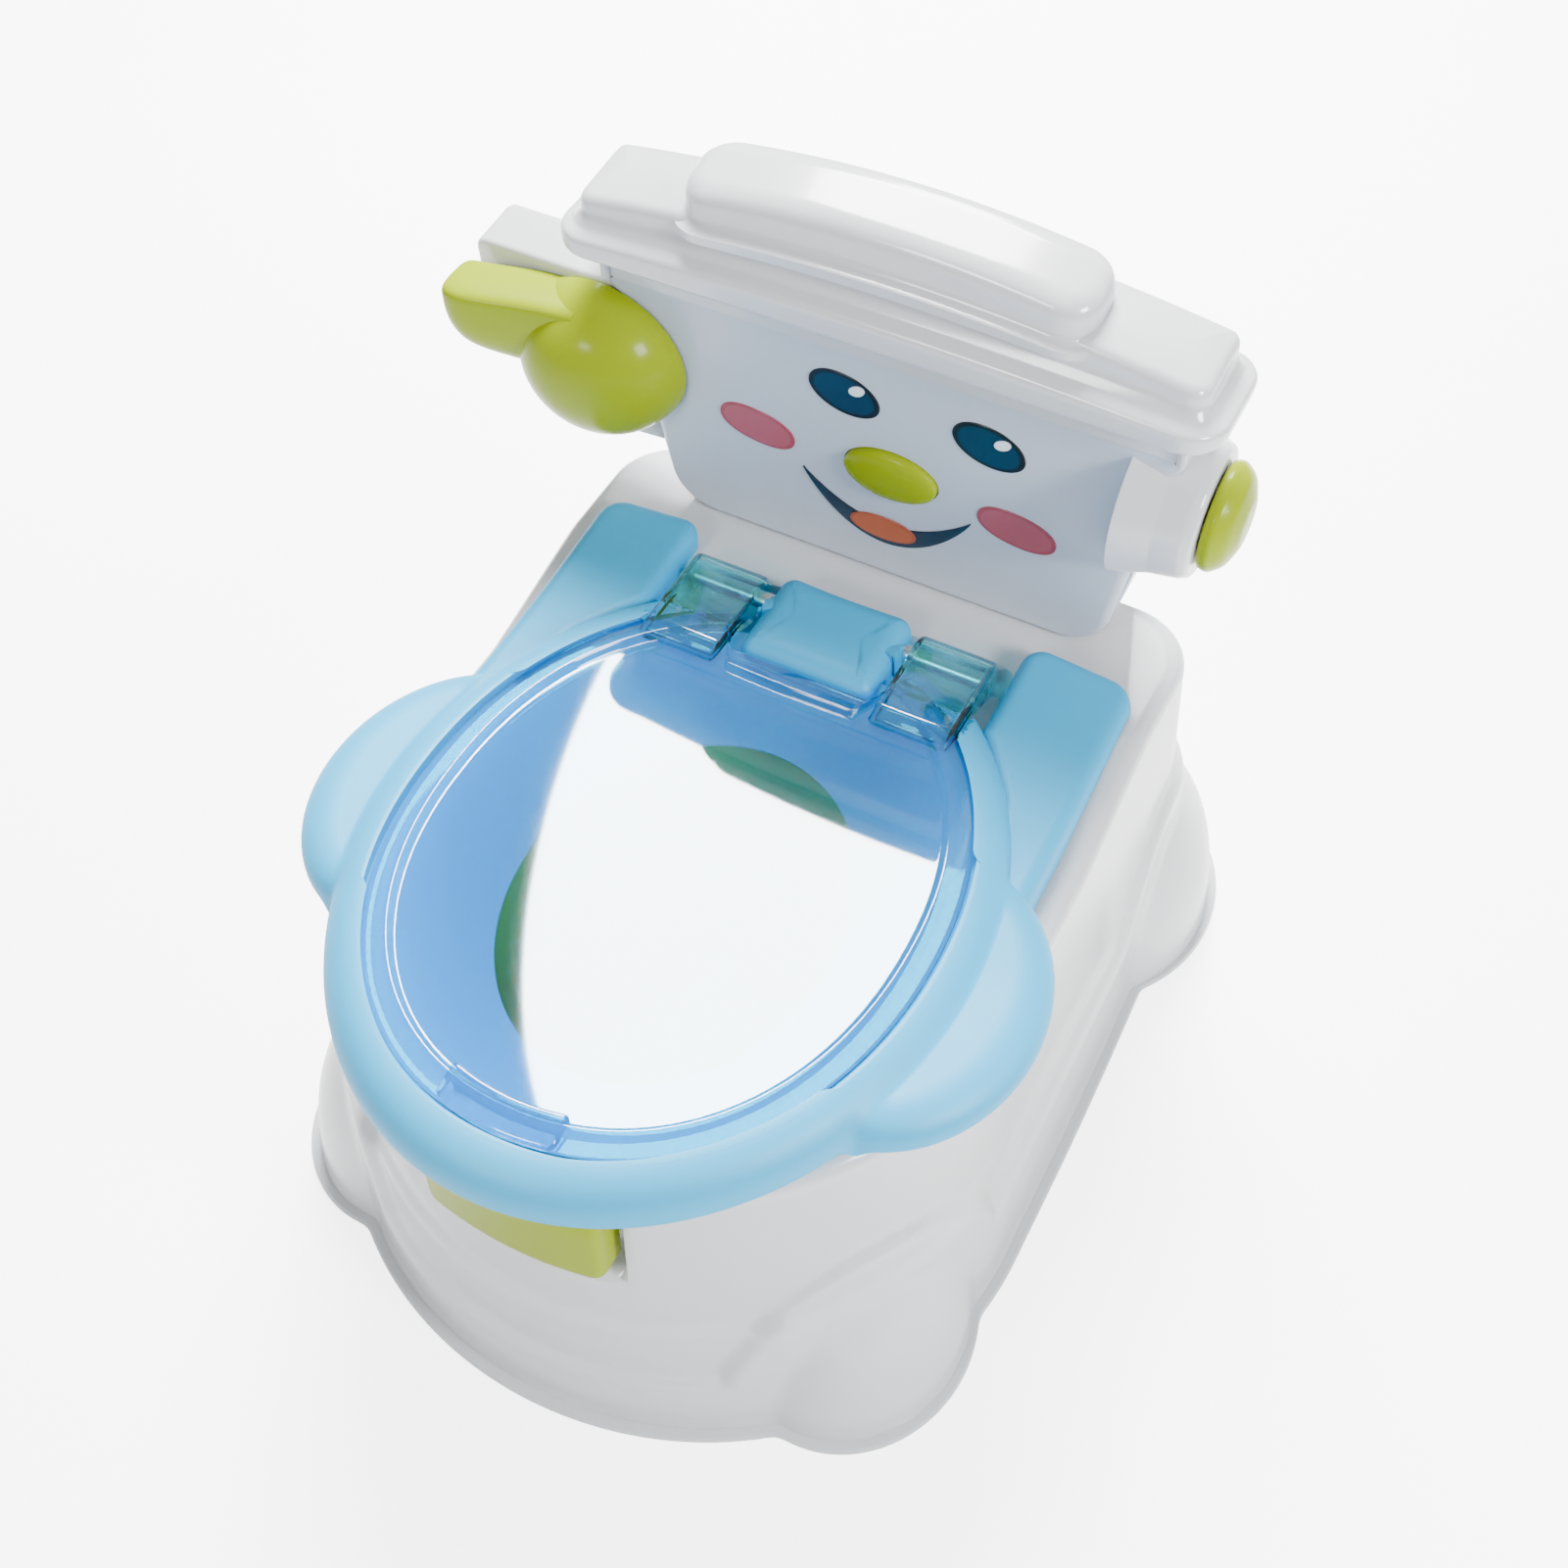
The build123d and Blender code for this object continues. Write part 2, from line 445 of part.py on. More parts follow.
def cells():
    """Two round cells lying along X, each with its raised contact."""
    made = []
    for (y, z), side in zip(cell_places(), (1, -1)):
        cell = x_rod(CELL_R, BATTERY_X - CELL_LEN / 2, BATTERY_X + CELL_LEN / 2, y, z)
        tip = BATTERY_X + side * CELL_LEN / 2
        made.append(cell + x_rod(2.7, tip - 1, tip + 1, y, z))
    return made


def cell_contacts():
    """Metal contact plates at both ends of the cells."""
    y = cell_places()[0][0]
    reach = BATTERY_HALF_W - 1.7
    plate = block(reach - 0.5, reach, y - 4, y + 4, BATTERY_LOW_Z + 3, BATTERY_TOP_Z - 3)
    return [Pos(BATTERY_X, 0, 0) * one for one in both_sides(plate)]


def tank_shelf():
    """Shelf that closes off the electronics below the storage space."""
    room = tank_solid(WALL + 0.4, FACE_Z, SEAM_Z, WALL + 6, WALL + 0.4)
    return room & block(-90, 90, 0, FAR, SHELF_Z, SHELF_Z + 2)


def sound_board():
    """Circuit board with its chip and the nose and lever contacts."""
    y = FACE_Y + 11
    board = block(-20, 34, y, y + 1.6, 206, 232)
    chip = block(-12, -2, y + 1.6, y + 3.6, 212, 222)
    contact = block(NOSE_X - 3, NOSE_X + 3, y - 3.5, y, 223, 229)
    return board + chip + contact


def speaker():
    """Small round speaker facing the rear."""
    y = rear_y(SPEAKER_Z) - WALL - 5
    basket = Pos(SPEAKER_X, y - 5, SPEAKER_Z) * Rot(90, 0, 0) * Cylinder(16, 5)
    return basket + Pos(SPEAKER_X, y - 10, SPEAKER_Z) * Rot(90, 0, 0) * Cylinder(9, 6)


def nose_button():
    """Oval push button standing out of the face, with a skirt and a plunger."""
    dome = face_plane(NOSE_X, NOSE_Z, -5) * extrude(Ellipse(NOSE_RX, NOSE_RZ), 5 + NOSE_OUT)
    dome = fillet(dome.faces().sort_by(Axis.Y)[0].edges(), NOSE_OUT - 1.5)
    skirt = face_plane(NOSE_X, NOSE_Z, -4.2) * extrude(Ellipse(NOSE_RX + 2.2, NOSE_RZ + 2.2), 1.5)
    return dome + skirt + face_plane(NOSE_X, NOSE_Z - 7, -8.5) * extrude(Circle(2), 5)


def nose_spring():
    """Return spring of the nose button, as its round envelope at the end of the button's travel."""
    ring = face_plane(NOSE_X, NOSE_Z + 3, -13.6)
    return ring * extrude(Circle(3.5) - Circle(2.6), 13.6 - 5 - NOSE_TRAVEL - 0.1)


def printed(x, z, shape):
    """A thin printed patch lying on the face."""
    return face_plane(x, z, 0.02) * extrude(shape, PRINT_THICK)


def eyes():
    """Two oval eyes, each with a lighter patch that sits on it."""
    return [printed(x, z, Rot(0, 0, -14) * Ellipse(EYE_RX, EYE_RZ)) for x, z in EYE_PLACES]


def eye_glints():
    """White glints on the eyes."""
    glint = Ellipse(4.0, 3.3)
    return [Pos(0, -PRINT_THICK - 0.03, 0) * printed(x + side * 7, z, glint)
            for (x, z), side in zip(EYE_PLACES, (1, -1))]


def cheeks():
    """Two oval cheeks."""
    return [printed(x, z, Rot(0, 0, -9) * Ellipse(CHEEK_RX, CHEEK_RZ)) for x, z in CHEEK_PLACES]


def mouth():
    """Crescent smile with a gap for the tongue."""
    upper = ThreePointArc((-MOUTH_HALF_W, 0), (0, -MOUTH_SAG), (MOUTH_HALF_W, 0))
    lower = ThreePointArc((MOUTH_HALF_W, 0), (0, -MOUTH_DROP), (-MOUTH_HALF_W, 0))
    smile = make_face(upper + lower)
    return smile, Pos(0, -MOUTH_DROP) * Ellipse(15, 7.5)


def smile():
    """The dark part of the mouth."""
    crescent, tongue_patch = mouth()
    return printed(MOUTH_X, MOUTH_Z, crescent - tongue_patch)


def tongue():
    """The tongue in the middle of the smile."""
    crescent, tongue_patch = mouth()
    return printed(MOUTH_X, MOUTH_Z, crescent & tongue_patch)


def arched(half_w, end_z, mid_z, front, rear, low_z):
    """Block with an arched top."""
    face = make_face(Polyline((-half_w, end_z), (-half_w, low_z), (half_w, low_z), (half_w, end_z))
                     + ThreePointArc((half_w, end_z), (0, mid_z), (-half_w, end_z)))
    plane = Plane(origin=(0, rear, 0), x_dir=(1, 0, 0), z_dir=(0, -1, 0))
    return extrude(plane * face, rear - front)


def tank_cap():
    """Lift-off cistern cap: skirt, overhanging lip, arched crown and raised middle, hollow."""
    front, rear = face_y(SEAM_Z), TANK_REAR_TOP_Y
    skirt = block(-TANK_TOP_HALF_W - 0.5, TANK_TOP_HALF_W + 0.5, front, rear, SEAM_Z, CAP_LIP_TOP_Z)
    skirt = fillet(skirt.edges().filter_by(Axis.Z), CAP_SKIRT_CORNER)
    lip = arched(CAP_LIP_HALF_W, CAP_LIP_TOP_Z, CAP_LIP_TOP_Z + CAP_ARCH,
                 CAP_LIP_FRONT_Y, CAP_LIP_REAR_Y, CAP_LIP_LOW_Z)
    lip = fillet(lip.edges().filter_by(Axis.Z), CAP_LIP_CORNER)
    crown = arched(CAP_CROWN_HALF_W, CAP_END_Z, CAP_MID_Z, CAP_LIP_FRONT_Y + CAP_CROWN_STEP,
                   CAP_LIP_REAR_Y - CAP_CROWN_STEP, CAP_LIP_LOW_Z + 3)
    crown = fillet(crown.edges().filter_by(Axis.Z), CAP_CROWN_CORNER)
    raised_low, raised_top = CAP_RAISED_Z - CAP_RAISED_ARCH, CAP_RAISED_Z
    raised = arched(CAP_RAISED_HALF_W, raised_low, raised_top, CAP_LIP_FRONT_Y + CAP_CROWN_STEP + 1,
                    CAP_LIP_REAR_Y - 2 * CAP_CROWN_STEP, CAP_LIP_TOP_Z)
    raised = fillet(raised.edges().filter_by(Axis.Z), CAP_RAISED_CORNER)
    cap = skirt + lip + crown + raised
    cap -= block(-TANK_TOP_HALF_W + WALL, TANK_TOP_HALF_W - WALL, front + WALL, rear - WALL,
                 0, CAP_LIP_TOP_Z - 4)
    return cap - arched(CAP_RAISED_HALF_W - 3, raised_low - 3, raised_top - 3,
                        front + WALL + 1, rear - WALL - 7, CAP_LIP_LOW_Z)


def bracket_body(inset, front, rear):
    """The bracket's outline between two depths behind the cistern's face."""
    top, end = BRACKET_TOP_Z - inset, BRACKET_END_X + inset
    tank_low, tank_high = -TANK_LOW_HALF_W + 2 - 2.6 * inset, -TANK_LOW_HALF_W + 2 - 8 * inset
    face = make_face(Polyline((tank_high, top), (end, top), (end, 256), (-132, 202 + inset),
                              (tank_low, 206 + inset), close=True))
    face = fillet(face.vertices().sort_by(Axis.X)[0:2], 5 - inset / 2)
    depth = extrude(Plane(origin=(0, 140, 0), x_dir=(1, 0, 0), z_dir=(0, -1, 0)) * face, 80)
    slab = side_slab(front, face_y(190) + rear, face_y(300) + rear, 190, 300)
    return (depth & slab) - tank_solid(-0.2, FACE_Z - 1, SEAM_Z + 20, -40, -60)


def lever_bracket():
    """White hollow bracket on the cistern's left side that carries the lever's axle."""
    bracket = bracket_body(0, 1.5, BRACKET_DEPTH - 2.2)
    bracket -= bracket_body(WALL, 1.5 + WALL, BRACKET_DEPTH + 5)
    return bracket - face_plane(LEVER_X, LEVER_Z, -15) * extrude(Circle(AXLE_R + PIN_CLEAR), 20)


def bracket_cover():
    """Flat cover that closes the bracket from behind."""
    return bracket_body(0, BRACKET_DEPTH - 2, BRACKET_DEPTH)


def flush_lever():
    """Green lever: domed hub with a rounded arm, flat on top."""
    hub = face_plane(LEVER_X, LEVER_Z, 0.6) * extrude(Circle(HUB_R), HUB_H)
    hub = fillet(hub.faces().sort_by(Axis.Y)[0].edges(), HUB_H - 3)
    arm = extrude(Plane(origin=(0, 88, 0), x_dir=(1, 0, 0), z_dir=(0, -1, 0)) * make_face(
        Polyline((LEVER_X, ARM_LOW_Z - 10), (ARM_END_X + 22, ARM_LOW_Z), (ARM_END_X, ARM_LOW_Z + 16),
                 (ARM_END_X, ARM_TOP_Z), (LEVER_X, ARM_TOP_Z), close=True)), 24)
    arm = fillet(arm.edges().filter_by(Axis.Z), 8)
    return hub + arm - face_plane(LEVER_X, LEVER_Z, 0) * extrude(Circle(AXLE_R), 14)


def lever_axle():
    """Steel axle pressed into the lever's hub and turning in the bracket's wall."""
    return face_plane(LEVER_X, LEVER_Z, -22) * extrude(Circle(AXLE_R), 35)


def lever_cam():
    """Cam pressed on the axle inside the bracket; its tip swings over to the switch."""
    cam = face_plane(LEVER_X, LEVER_Z, -11) * extrude(Circle(AXLE_R + 2.6), 5)
    cam += face_plane(LEVER_X, LEVER_Z + 13, -11) * extrude(Rectangle(4, 17), 5)
    return cam - face_plane(LEVER_X, LEVER_Z, -12) * extrude(Circle(AXLE_R), 8)


def lever_spring():
    """Torsion spring round the axle behind the cam, as its envelope."""
    return face_plane(LEVER_X, LEVER_Z, -19.5) * extrude(Circle(AXLE_R + 3) - Circle(AXLE_R + 0.6), 8)


def lever_switch():
    """Small switch that the cam's tip presses at the end of the lever's travel."""
    body = face_plane(LEVER_X - 16, LEVER_Z + 17, -13) * extrude(Rectangle(12, 9), 8)
    return body + face_plane(LEVER_X - 9.4, LEVER_Z + 18, -10) * extrude(Rectangle(1.4, 3), 3)


def side_boss():
    """White round boss on the cistern's other side."""
    boss = x_rod(BOSS_R, TANK_LOW_HALF_W, BOSS_END_X, BOSS_Y, BOSS_Z)
    boss = fillet(boss.faces().sort_by(Axis.X)[-1].edges(), 4)
    boss -= tank_solid(-0.2, FACE_Z - 1, SEAM_Z + 20, -40, -60)
    return boss - x_rod(DISC_STEM_R + PIN_CLEAR, 60, 140, BOSS_Y, BOSS_Z)


def side_disc():
    """Green domed disc on a stem that turns in the boss."""
    disc_shape = x_rod(DISC_R, BOSS_END_X + 0.6, BOSS_END_X + DISC_THICK, BOSS_Y, BOSS_Z)
    disc_shape = fillet(disc_shape.faces().sort_by(Axis.X)[-1].edges(), DISC_THICK - 3)
    return disc_shape + x_rod(DISC_STEM_R, BOSS_END_X - 14, BOSS_END_X + 2, BOSS_Y, BOSS_Z)


def panel_screws():
    """Four screws through the rear shell's corners, heads outside, towards the front panel."""
    made = []
    for x, z in PANEL_SCREW_PLACES:
        place = rear_plane(x, z)
        head = place.offset(0.05) * extrude(Circle(SCREW_HEAD_R), 1.4)
        made.append(head + place.offset(-8) * extrude(Circle(SCREW_SHANK_R), 8.5))
    return made


PARTS = (base_shell, rubber_feet, pot, seat_top, hinge_pins, lid, tank_front, tank_back, tank_cap,
         tank_shelf, lever_bracket, bracket_cover, flush_lever, lever_axle, lever_cam, lever_spring,
         lever_switch, side_boss, side_disc, nose_button, nose_spring, eyes, eye_glints, cheeks,
         smile, tongue, battery_case, battery_door, door_screw, cells, cell_contacts, sound_board,
         speaker, panel_screws)


def main():
    """Write one STEP file for each sub-part."""
    os.makedirs("parts", exist_ok=True)
    for make in PARTS:
        made = make()
        if isinstance(made, list):
            made = Compound(children=made)
        export_step(made, f"parts/{make.__name__}.step")


if __name__ == "__main__":
    main()
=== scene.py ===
import math

import bmesh
import bpy
import numpy as np
from bpy.props import FloatProperty, FloatVectorProperty, PointerProperty
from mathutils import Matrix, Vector


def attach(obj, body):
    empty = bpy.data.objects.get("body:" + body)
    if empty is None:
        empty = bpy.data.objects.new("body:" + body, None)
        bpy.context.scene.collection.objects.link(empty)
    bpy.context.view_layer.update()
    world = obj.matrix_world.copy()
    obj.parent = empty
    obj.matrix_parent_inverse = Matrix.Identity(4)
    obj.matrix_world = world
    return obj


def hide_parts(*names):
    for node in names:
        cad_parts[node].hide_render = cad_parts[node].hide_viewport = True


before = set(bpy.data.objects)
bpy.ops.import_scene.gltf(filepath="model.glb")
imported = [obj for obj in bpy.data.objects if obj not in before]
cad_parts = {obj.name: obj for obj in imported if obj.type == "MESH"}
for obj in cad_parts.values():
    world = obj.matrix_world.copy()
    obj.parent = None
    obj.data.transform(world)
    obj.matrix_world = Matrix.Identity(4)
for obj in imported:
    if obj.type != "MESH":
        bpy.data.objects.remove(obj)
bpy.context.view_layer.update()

bl_info = {
    "name": "Potty Training Chair",
    "version": (1, 0, 0),
    "blender": (4, 5, 0),
    "location": "View3D > Sidebar > Potty Chair",
    "description": "Finished surfaces, materials and studio of a child's potty chair",
    "category": "Add Mesh",
}

MM = 0.001
TAU = 2 * math.pi
SEAT_Y = -66.0
DECK_Z, REAR_DECK_Z = 162.0, 176.0
RAMP_FRONT_Y, RAMP_REAR_Y = 6.0, 70.0
WALL = 2.6
LEAN = 0.08
FACE_Y, FACE_Z, SEAM_Z = 100.0, 176.0, 287.0
TANK_LOW_HALF_W, TANK_TOP_HALF_W = 91.0, 112.5
TANK_REAR_LOW_Y, TANK_REAR_TOP_Y = 150.0, 116.0
PANEL_DEPTH = 11.0
LID_HALF_W, LID_HALF_L, LID_POWER = 99.2, 120.2, 2.11
RING_ROUND = 15.0
HINGE_Y, HINGE_Z, BARREL_R = 61.0, 181.0, 9.0
LEVER_X, LEVER_Z = -117.0, 248.0
BOSS_Y, BOSS_Z = 107.0, 256.0
NOSE_X, NOSE_Z = 4.0, 233.5


# ---------------------------------------------------------------- curves and surfaces

def smooth_max(a, b, k):
    """max(a, b) plus (k - |a - b|)^2 / 4k where they are closer than k."""
    return np.maximum(a, b) + np.maximum(k - np.abs(a - b), 0) ** 2 / (4 * k)


def ease(t):
    """3t^2 - 2t^3 with t held between 0 and 1."""
    t = np.clip(t, 0, 1)
    return t * t * (3 - 2 * t)


def step(t):
    """Soft step from 0 to 1 about t = 0: (1 + tanh t) / 2."""
    return 0.5 * (1 + np.tanh(t))


def rounded(corners, radii, steps=7):
    """Path of straight runs whose inner corners are arcs of the given radii, tangent to both runs."""
    points = np.asarray(corners, float)
    parts = [points[:1]]
    for before, here, after, r in zip(points[:-2], points[1:-1], points[2:], radii):
        a = (before - here) / np.linalg.norm(before - here)
        b = (after - here) / np.linalg.norm(after - here)
        half = 0.5 * math.acos(float(np.clip(a @ b, -1, 1)))
        if r <= 0 or math.pi - 2 * half < 0.02:
            parts.append(here[None])
            continue
        centre = here + (a + b) / np.linalg.norm(a + b) * r / math.sin(half)
        u = here + a * r / math.tan(half) - centre
        v = here + b * r / math.tan(half) - centre
        sweep = math.pi - 2 * half
        t = np.linspace(0, 1, steps)[:, None]
        parts.append(centre + (u * np.sin((1 - t) * sweep) + v * np.sin(t * sweep)) / math.sin(sweep))
    parts.append(points[-1:])
    return np.vstack(parts)


def even(points, count, closed=True):
    """The same path cut into equal lengths of arc."""
    path = np.vstack([points, points[:1]]) if closed else points
    run = np.concatenate([[0], np.cumsum(np.linalg.norm(np.diff(path, axis=0), axis=1))])
    s = np.linspace(0, run[-1], count + 1)[:-1] if closed else np.linspace(0, run[-1], count)
    return np.stack([np.interp(s, run, path[:, k]) for k in range(path.shape[1])], axis=1)


def closed_outline(corners, radii, count):
    """Rounded polygon, anticlockwise, starting in the middle of its first side."""
    points = np.asarray(corners, float)
    start = (points[0] + points[1]) / 2
    order = np.vstack([start, points[1:], points[:1], start])
    return even(rounded(order, list(radii[1:]) + [radii[0]], 12)[:-1], count)


def oval_outline(rx, ry, count, power=2.0, turn=0.0):
    """x = rx sgn(cos) |cos|^(2/p), y = ry sgn(sin) |sin|^(2/p), turned."""
    t = np.arange(count) * TAU / count
    x = rx * np.sign(np.cos(t)) * np.abs(np.cos(t)) ** (2 / power)
    y = ry * np.sign(np.sin(t)) * np.abs(np.sin(t)) ** (2 / power)
    c, s = math.cos(turn), math.sin(turn)
    return np.stack([c * x - s * y, s * x + c * y], axis=1)


def outward(outline):
    """Unit normals of a closed anticlockwise outline: the central difference turned by -90 degrees."""
    along = np.roll(outline, -1, axis=0) - np.roll(outline, 1, axis=0)
    normal = np.stack([along[:, 1], -along[:, 0]], axis=1)
    return normal / np.maximum(np.linalg.norm(normal, axis=1), 1e-9)[:, None]


def stack(outline, profile, lift=None, core=None, cap_rows=6):
    """Closed surface: ring k is the outline moved in along its normals by inset_k, at height h_k.
    lift(x, y, h) turns a height into Z, and both end rings run straight on to the core, a point or a
    line in the middle."""
    profile = np.asarray(profile, float)
    normal = outward(outline)
    rings = outline[None] - profile[:, 0, None, None] * normal[None]
    heights = np.repeat(profile[:, 1:2], len(outline), axis=1)
    middle = outline.mean(axis=0) if core is None else core(outline)
    t = np.linspace(0, 1, cap_rows + 1)[1:, None, None]
    low = rings[0] + (middle - rings[0]) * t[::-1]
    top = rings[-1] + (middle - rings[-1]) * t
    xy = np.concatenate([low, rings, top])
    h = np.concatenate([np.repeat(heights[:1], cap_rows, 0), heights,
                        np.repeat(heights[-1:], cap_rows, 0)])
    z = h if lift is None else lift(xy[..., 0], xy[..., 1], h)
    return np.concatenate([xy, z[..., None]], axis=2)


def fan(ring, middle, spans):
    """Rings from one ring towards a middle point, each at its share of the way, at the ring's Z."""
    xy = ring[None, :, :2] + (middle - ring[None, :, :2]) * spans
    return np.concatenate([xy, np.broadcast_to(ring[None, :, 2:], xy.shape[:2] + (1,))], axis=2)


def quarter(wide, high, start, count):
    """Profile of a quarter ellipse that draws in by its width while it rises from a start height."""
    return [(wide * (1 - math.cos(p)), start + high * math.sin(p))
            for p in np.linspace(0, math.pi / 2, count)]


def line_core(half_x, cx=0.0, cy=0.0):
    """Middle line along X: each point goes to its own X, held between the ends of the line."""
    def core(outline):
        x = np.clip(outline[:, 0], cx - half_x, cx + half_x)
        return np.stack([x, np.full(len(x), cy)], axis=1)
    return core


def on_face(grid, x=0.0, z=0.0):
    """Local (x, y, out) on the leaning face: x stays X, y climbs the face and out leaves it."""
    n = math.hypot(1, LEAN)
    out = np.array([0, -1 / n, -LEAN / n])
    up = np.array([0, -LEAN / n, 1 / n])
    origin = np.array([x, FACE_Y - LEAN * (z - FACE_Z), z])
    return (origin + grid[..., :1] * np.array([1.0, 0, 0]) + grid[..., 1:2] * up
            + grid[..., 2:3] * out)


def turned(profile, count=72):
    """Profile of (along, radius) turned about X: (a, r cos t, r sin t)."""
    t = np.arange(count) * TAU / count
    a, r = np.asarray(profile, float).T
    return np.stack([np.repeat(a[:, None], count, 1), r[:, None] * np.cos(t), r[:, None] * np.sin(t)],
                    axis=2)


def make_mesh(name, grids, sharp=32.0, rim=None, loop=False):
    """One mesh from closed grids of rings, in millimetres: quads between neighbours, doubles merged,
    faces turned outwards, edges sharper than the angle kept sharp."""
    points, faces, marks, base = [], [], [], 0
    for grid in grids:
        rows, cols = grid.shape[:2]
        r = np.arange(rows if loop else rows - 1)[:, None]
        c = np.arange(cols)[None]
        n, m = (r + 1) % rows, (c + 1) % cols
        quads = np.stack([r * cols + c, r * cols + m, n * cols + m, n * cols + c], axis=2)
        faces.append(quads.reshape(-1, 4) + base)
        points.append(grid.reshape(-1, 3) * MM)
        if rim is not None:
            marks.append(np.repeat(np.asarray(rim, float), cols))
        base += rows * cols
    mesh = bpy.data.meshes.new(name)
    mesh.from_pydata(np.vstack(points), [], np.vstack(faces).tolist())
    if rim is not None:
        mark = mesh.attributes.new("rim", "FLOAT", "POINT")
        mark.data.foreach_set("value", np.concatenate(marks).astype(np.float32))
    work = bmesh.new()
    work.from_mesh(mesh)
    bmesh.ops.remove_doubles(work, verts=work.verts, dist=2e-6)
    bmesh.ops.dissolve_degenerate(work, edges=work.edges, dist=1e-7)
    bmesh.ops.recalc_face_normals(work, faces=work.faces)
    if work.calc_volume(signed=True) < 0:
        bmesh.ops.reverse_faces(work, faces=work.faces)
    work.to_mesh(mesh)
    work.free()
    finish_shading(mesh, sharp)
    return mesh


def finish_shading(mesh, sharp):
    """Smooth shading with sharp edges above an angle in degrees."""
    mesh.polygons.foreach_set("use_smooth", np.ones(len(mesh.polygons), bool))
    mesh.set_sharp_from_angle(angle=math.radians(sharp))
    mesh.update()


def carve(mesh, cutters, sharp=32.0):
    """The mesh with the closed cutter grids taken away by exact Boolean."""
    target = bpy.data.objects.new("carving", mesh)
    bpy.context.scene.collection.objects.link(target)
    tools = []
    for k, grid in enumerate(cutters):
        tool = bpy.data.objects.new(f"cutter_{k}", make_mesh(f"cutter_{k}", [grid]))
        bpy.context.scene.collection.objects.link(tool)
        cut = target.modifiers.new(f"cut_{k}", "BOOLEAN")
        cut.operation, cut.solver, cut.object = "DIFFERENCE", "EXACT", tool
        tools.append(tool)
    graph = bpy.context.evaluated_depsgraph_get()
    made = bpy.data.meshes.new_from_object(target.evaluated_get(graph))
    for thing in [target] + tools:
        bpy.data.objects.remove(thing)
    finish_shading(made, sharp)
    return made


def join_meshes(name, meshes, sharp=32.0):
    """Several meshes as one."""
    work = bmesh.new()
    for mesh in meshes:
        work.from_mesh(mesh)
    made = bpy.data.meshes.new(name)
    work.to_mesh(made)
    work.free()
    finish_shading(made, sharp)
    return made


def add_piece(name, mesh, finish, body, nodes=()):
    """Puts a mesh in the scene as a piece that rides on a body and stands for CAD nodes."""
    mesh.name = name
    mesh.materials.clear()
    mesh.materials.append(finish)
    piece = bpy.data.objects.new(name, mesh)
    bpy.context.scene.collection.objects.link(piece)
    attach(piece, body)
    if nodes:
        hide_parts(*nodes)
    return piece


def box_grid(x0, x1, y0, y1, z0, z1):
    """Closed box as a grid of rings."""
    outline = np.array([[x0, y0], [x1, y0], [x1, y1], [x0, y1]], float)
    return stack(outline, [(0, z0), (0, z1)], cap_rows=1)


# ---------------------------------------------------------------- materials

def new_group(name, inputs, outputs):
    """Empty shader group with named sockets."""
    group = bpy.data.node_groups.new(name, "ShaderNodeTree")
    for label, kind, default in inputs:
        socket = group.interface.new_socket(label, in_out="INPUT", socket_type=kind)
        socket.default_value = default
    for label, kind in outputs:
        group.interface.new_socket(label, in_out="OUTPUT", socket_type=kind)
    return group, group.nodes.new("NodeGroupInput"), group.nodes.new("NodeGroupOutput")


def moulded_skin():
    """Group: cloudy tint, worn roughness and fine grain of moulded plastic.
    Tint is the colour times 1 +- cloud, roughness gains a smear, height is grain plus slow waves."""
    if "Moulded Skin" in bpy.data.node_groups:
        return bpy.data.node_groups["Moulded Skin"]
    group, given, result = new_group(
        "Moulded Skin",
        [("Color", "NodeSocketColor", (0.8, 0.8, 0.8, 1)), ("Roughness", "NodeSocketFloat", 0.3),
         ("Grain Scale", "NodeSocketFloat", 900.0), ("Grain", "NodeSocketFloat", 0.3),
         ("Cloud", "NodeSocketFloat", 0.03), ("Smear", "NodeSocketFloat", 0.06)],
        [("Color", "NodeSocketColor"), ("Roughness", "NodeSocketFloat"), ("Height", "NodeSocketFloat")])
    nodes, links = group.nodes, group.links
    place = nodes.new("ShaderNodeTexCoord")

    def noise(scale, detail):
        made = nodes.new("ShaderNodeTexNoise")
        made.inputs["Detail"].default_value = detail
        links.new(place.outputs["Object"], made.inputs["Vector"])
        if isinstance(scale, float):
            made.inputs["Scale"].default_value = scale
        else:
            links.new(scale, made.inputs["Scale"])
        return made.outputs["Fac"]

    def reckon(kind, *values):
        made = nodes.new("ShaderNodeMath")
        made.operation = kind
        for socket, value in zip(made.inputs, values):
            if isinstance(value, float):
                socket.default_value = value
            else:
                links.new(value, socket)
        return made.outputs[0]

    cloud = reckon("MULTIPLY_ADD", reckon("SUBTRACT", noise(14.0, 3.0), 0.5),
                   given.outputs["Cloud"], 1.0)
    shade = nodes.new("ShaderNodeVectorMath")
    shade.operation = "SCALE"
    links.new(given.outputs["Color"], shade.inputs[0])
    links.new(cloud, shade.inputs["Scale"])
    links.new(shade.outputs[0], result.inputs["Color"])
    smear = reckon("MULTIPLY_ADD", reckon("SUBTRACT", noise(38.0, 6.0), 0.5),
                   given.outputs["Smear"], given.outputs["Roughness"])
    links.new(smear, result.inputs["Roughness"])
    grain = reckon("MULTIPLY", noise(given.outputs["Grain Scale"], 2.0), given.outputs["Grain"])
    links.new(reckon("ADD", grain, reckon("MULTIPLY", noise(7.0, 1.0), 0.15)), result.inputs["Height"])
    return group


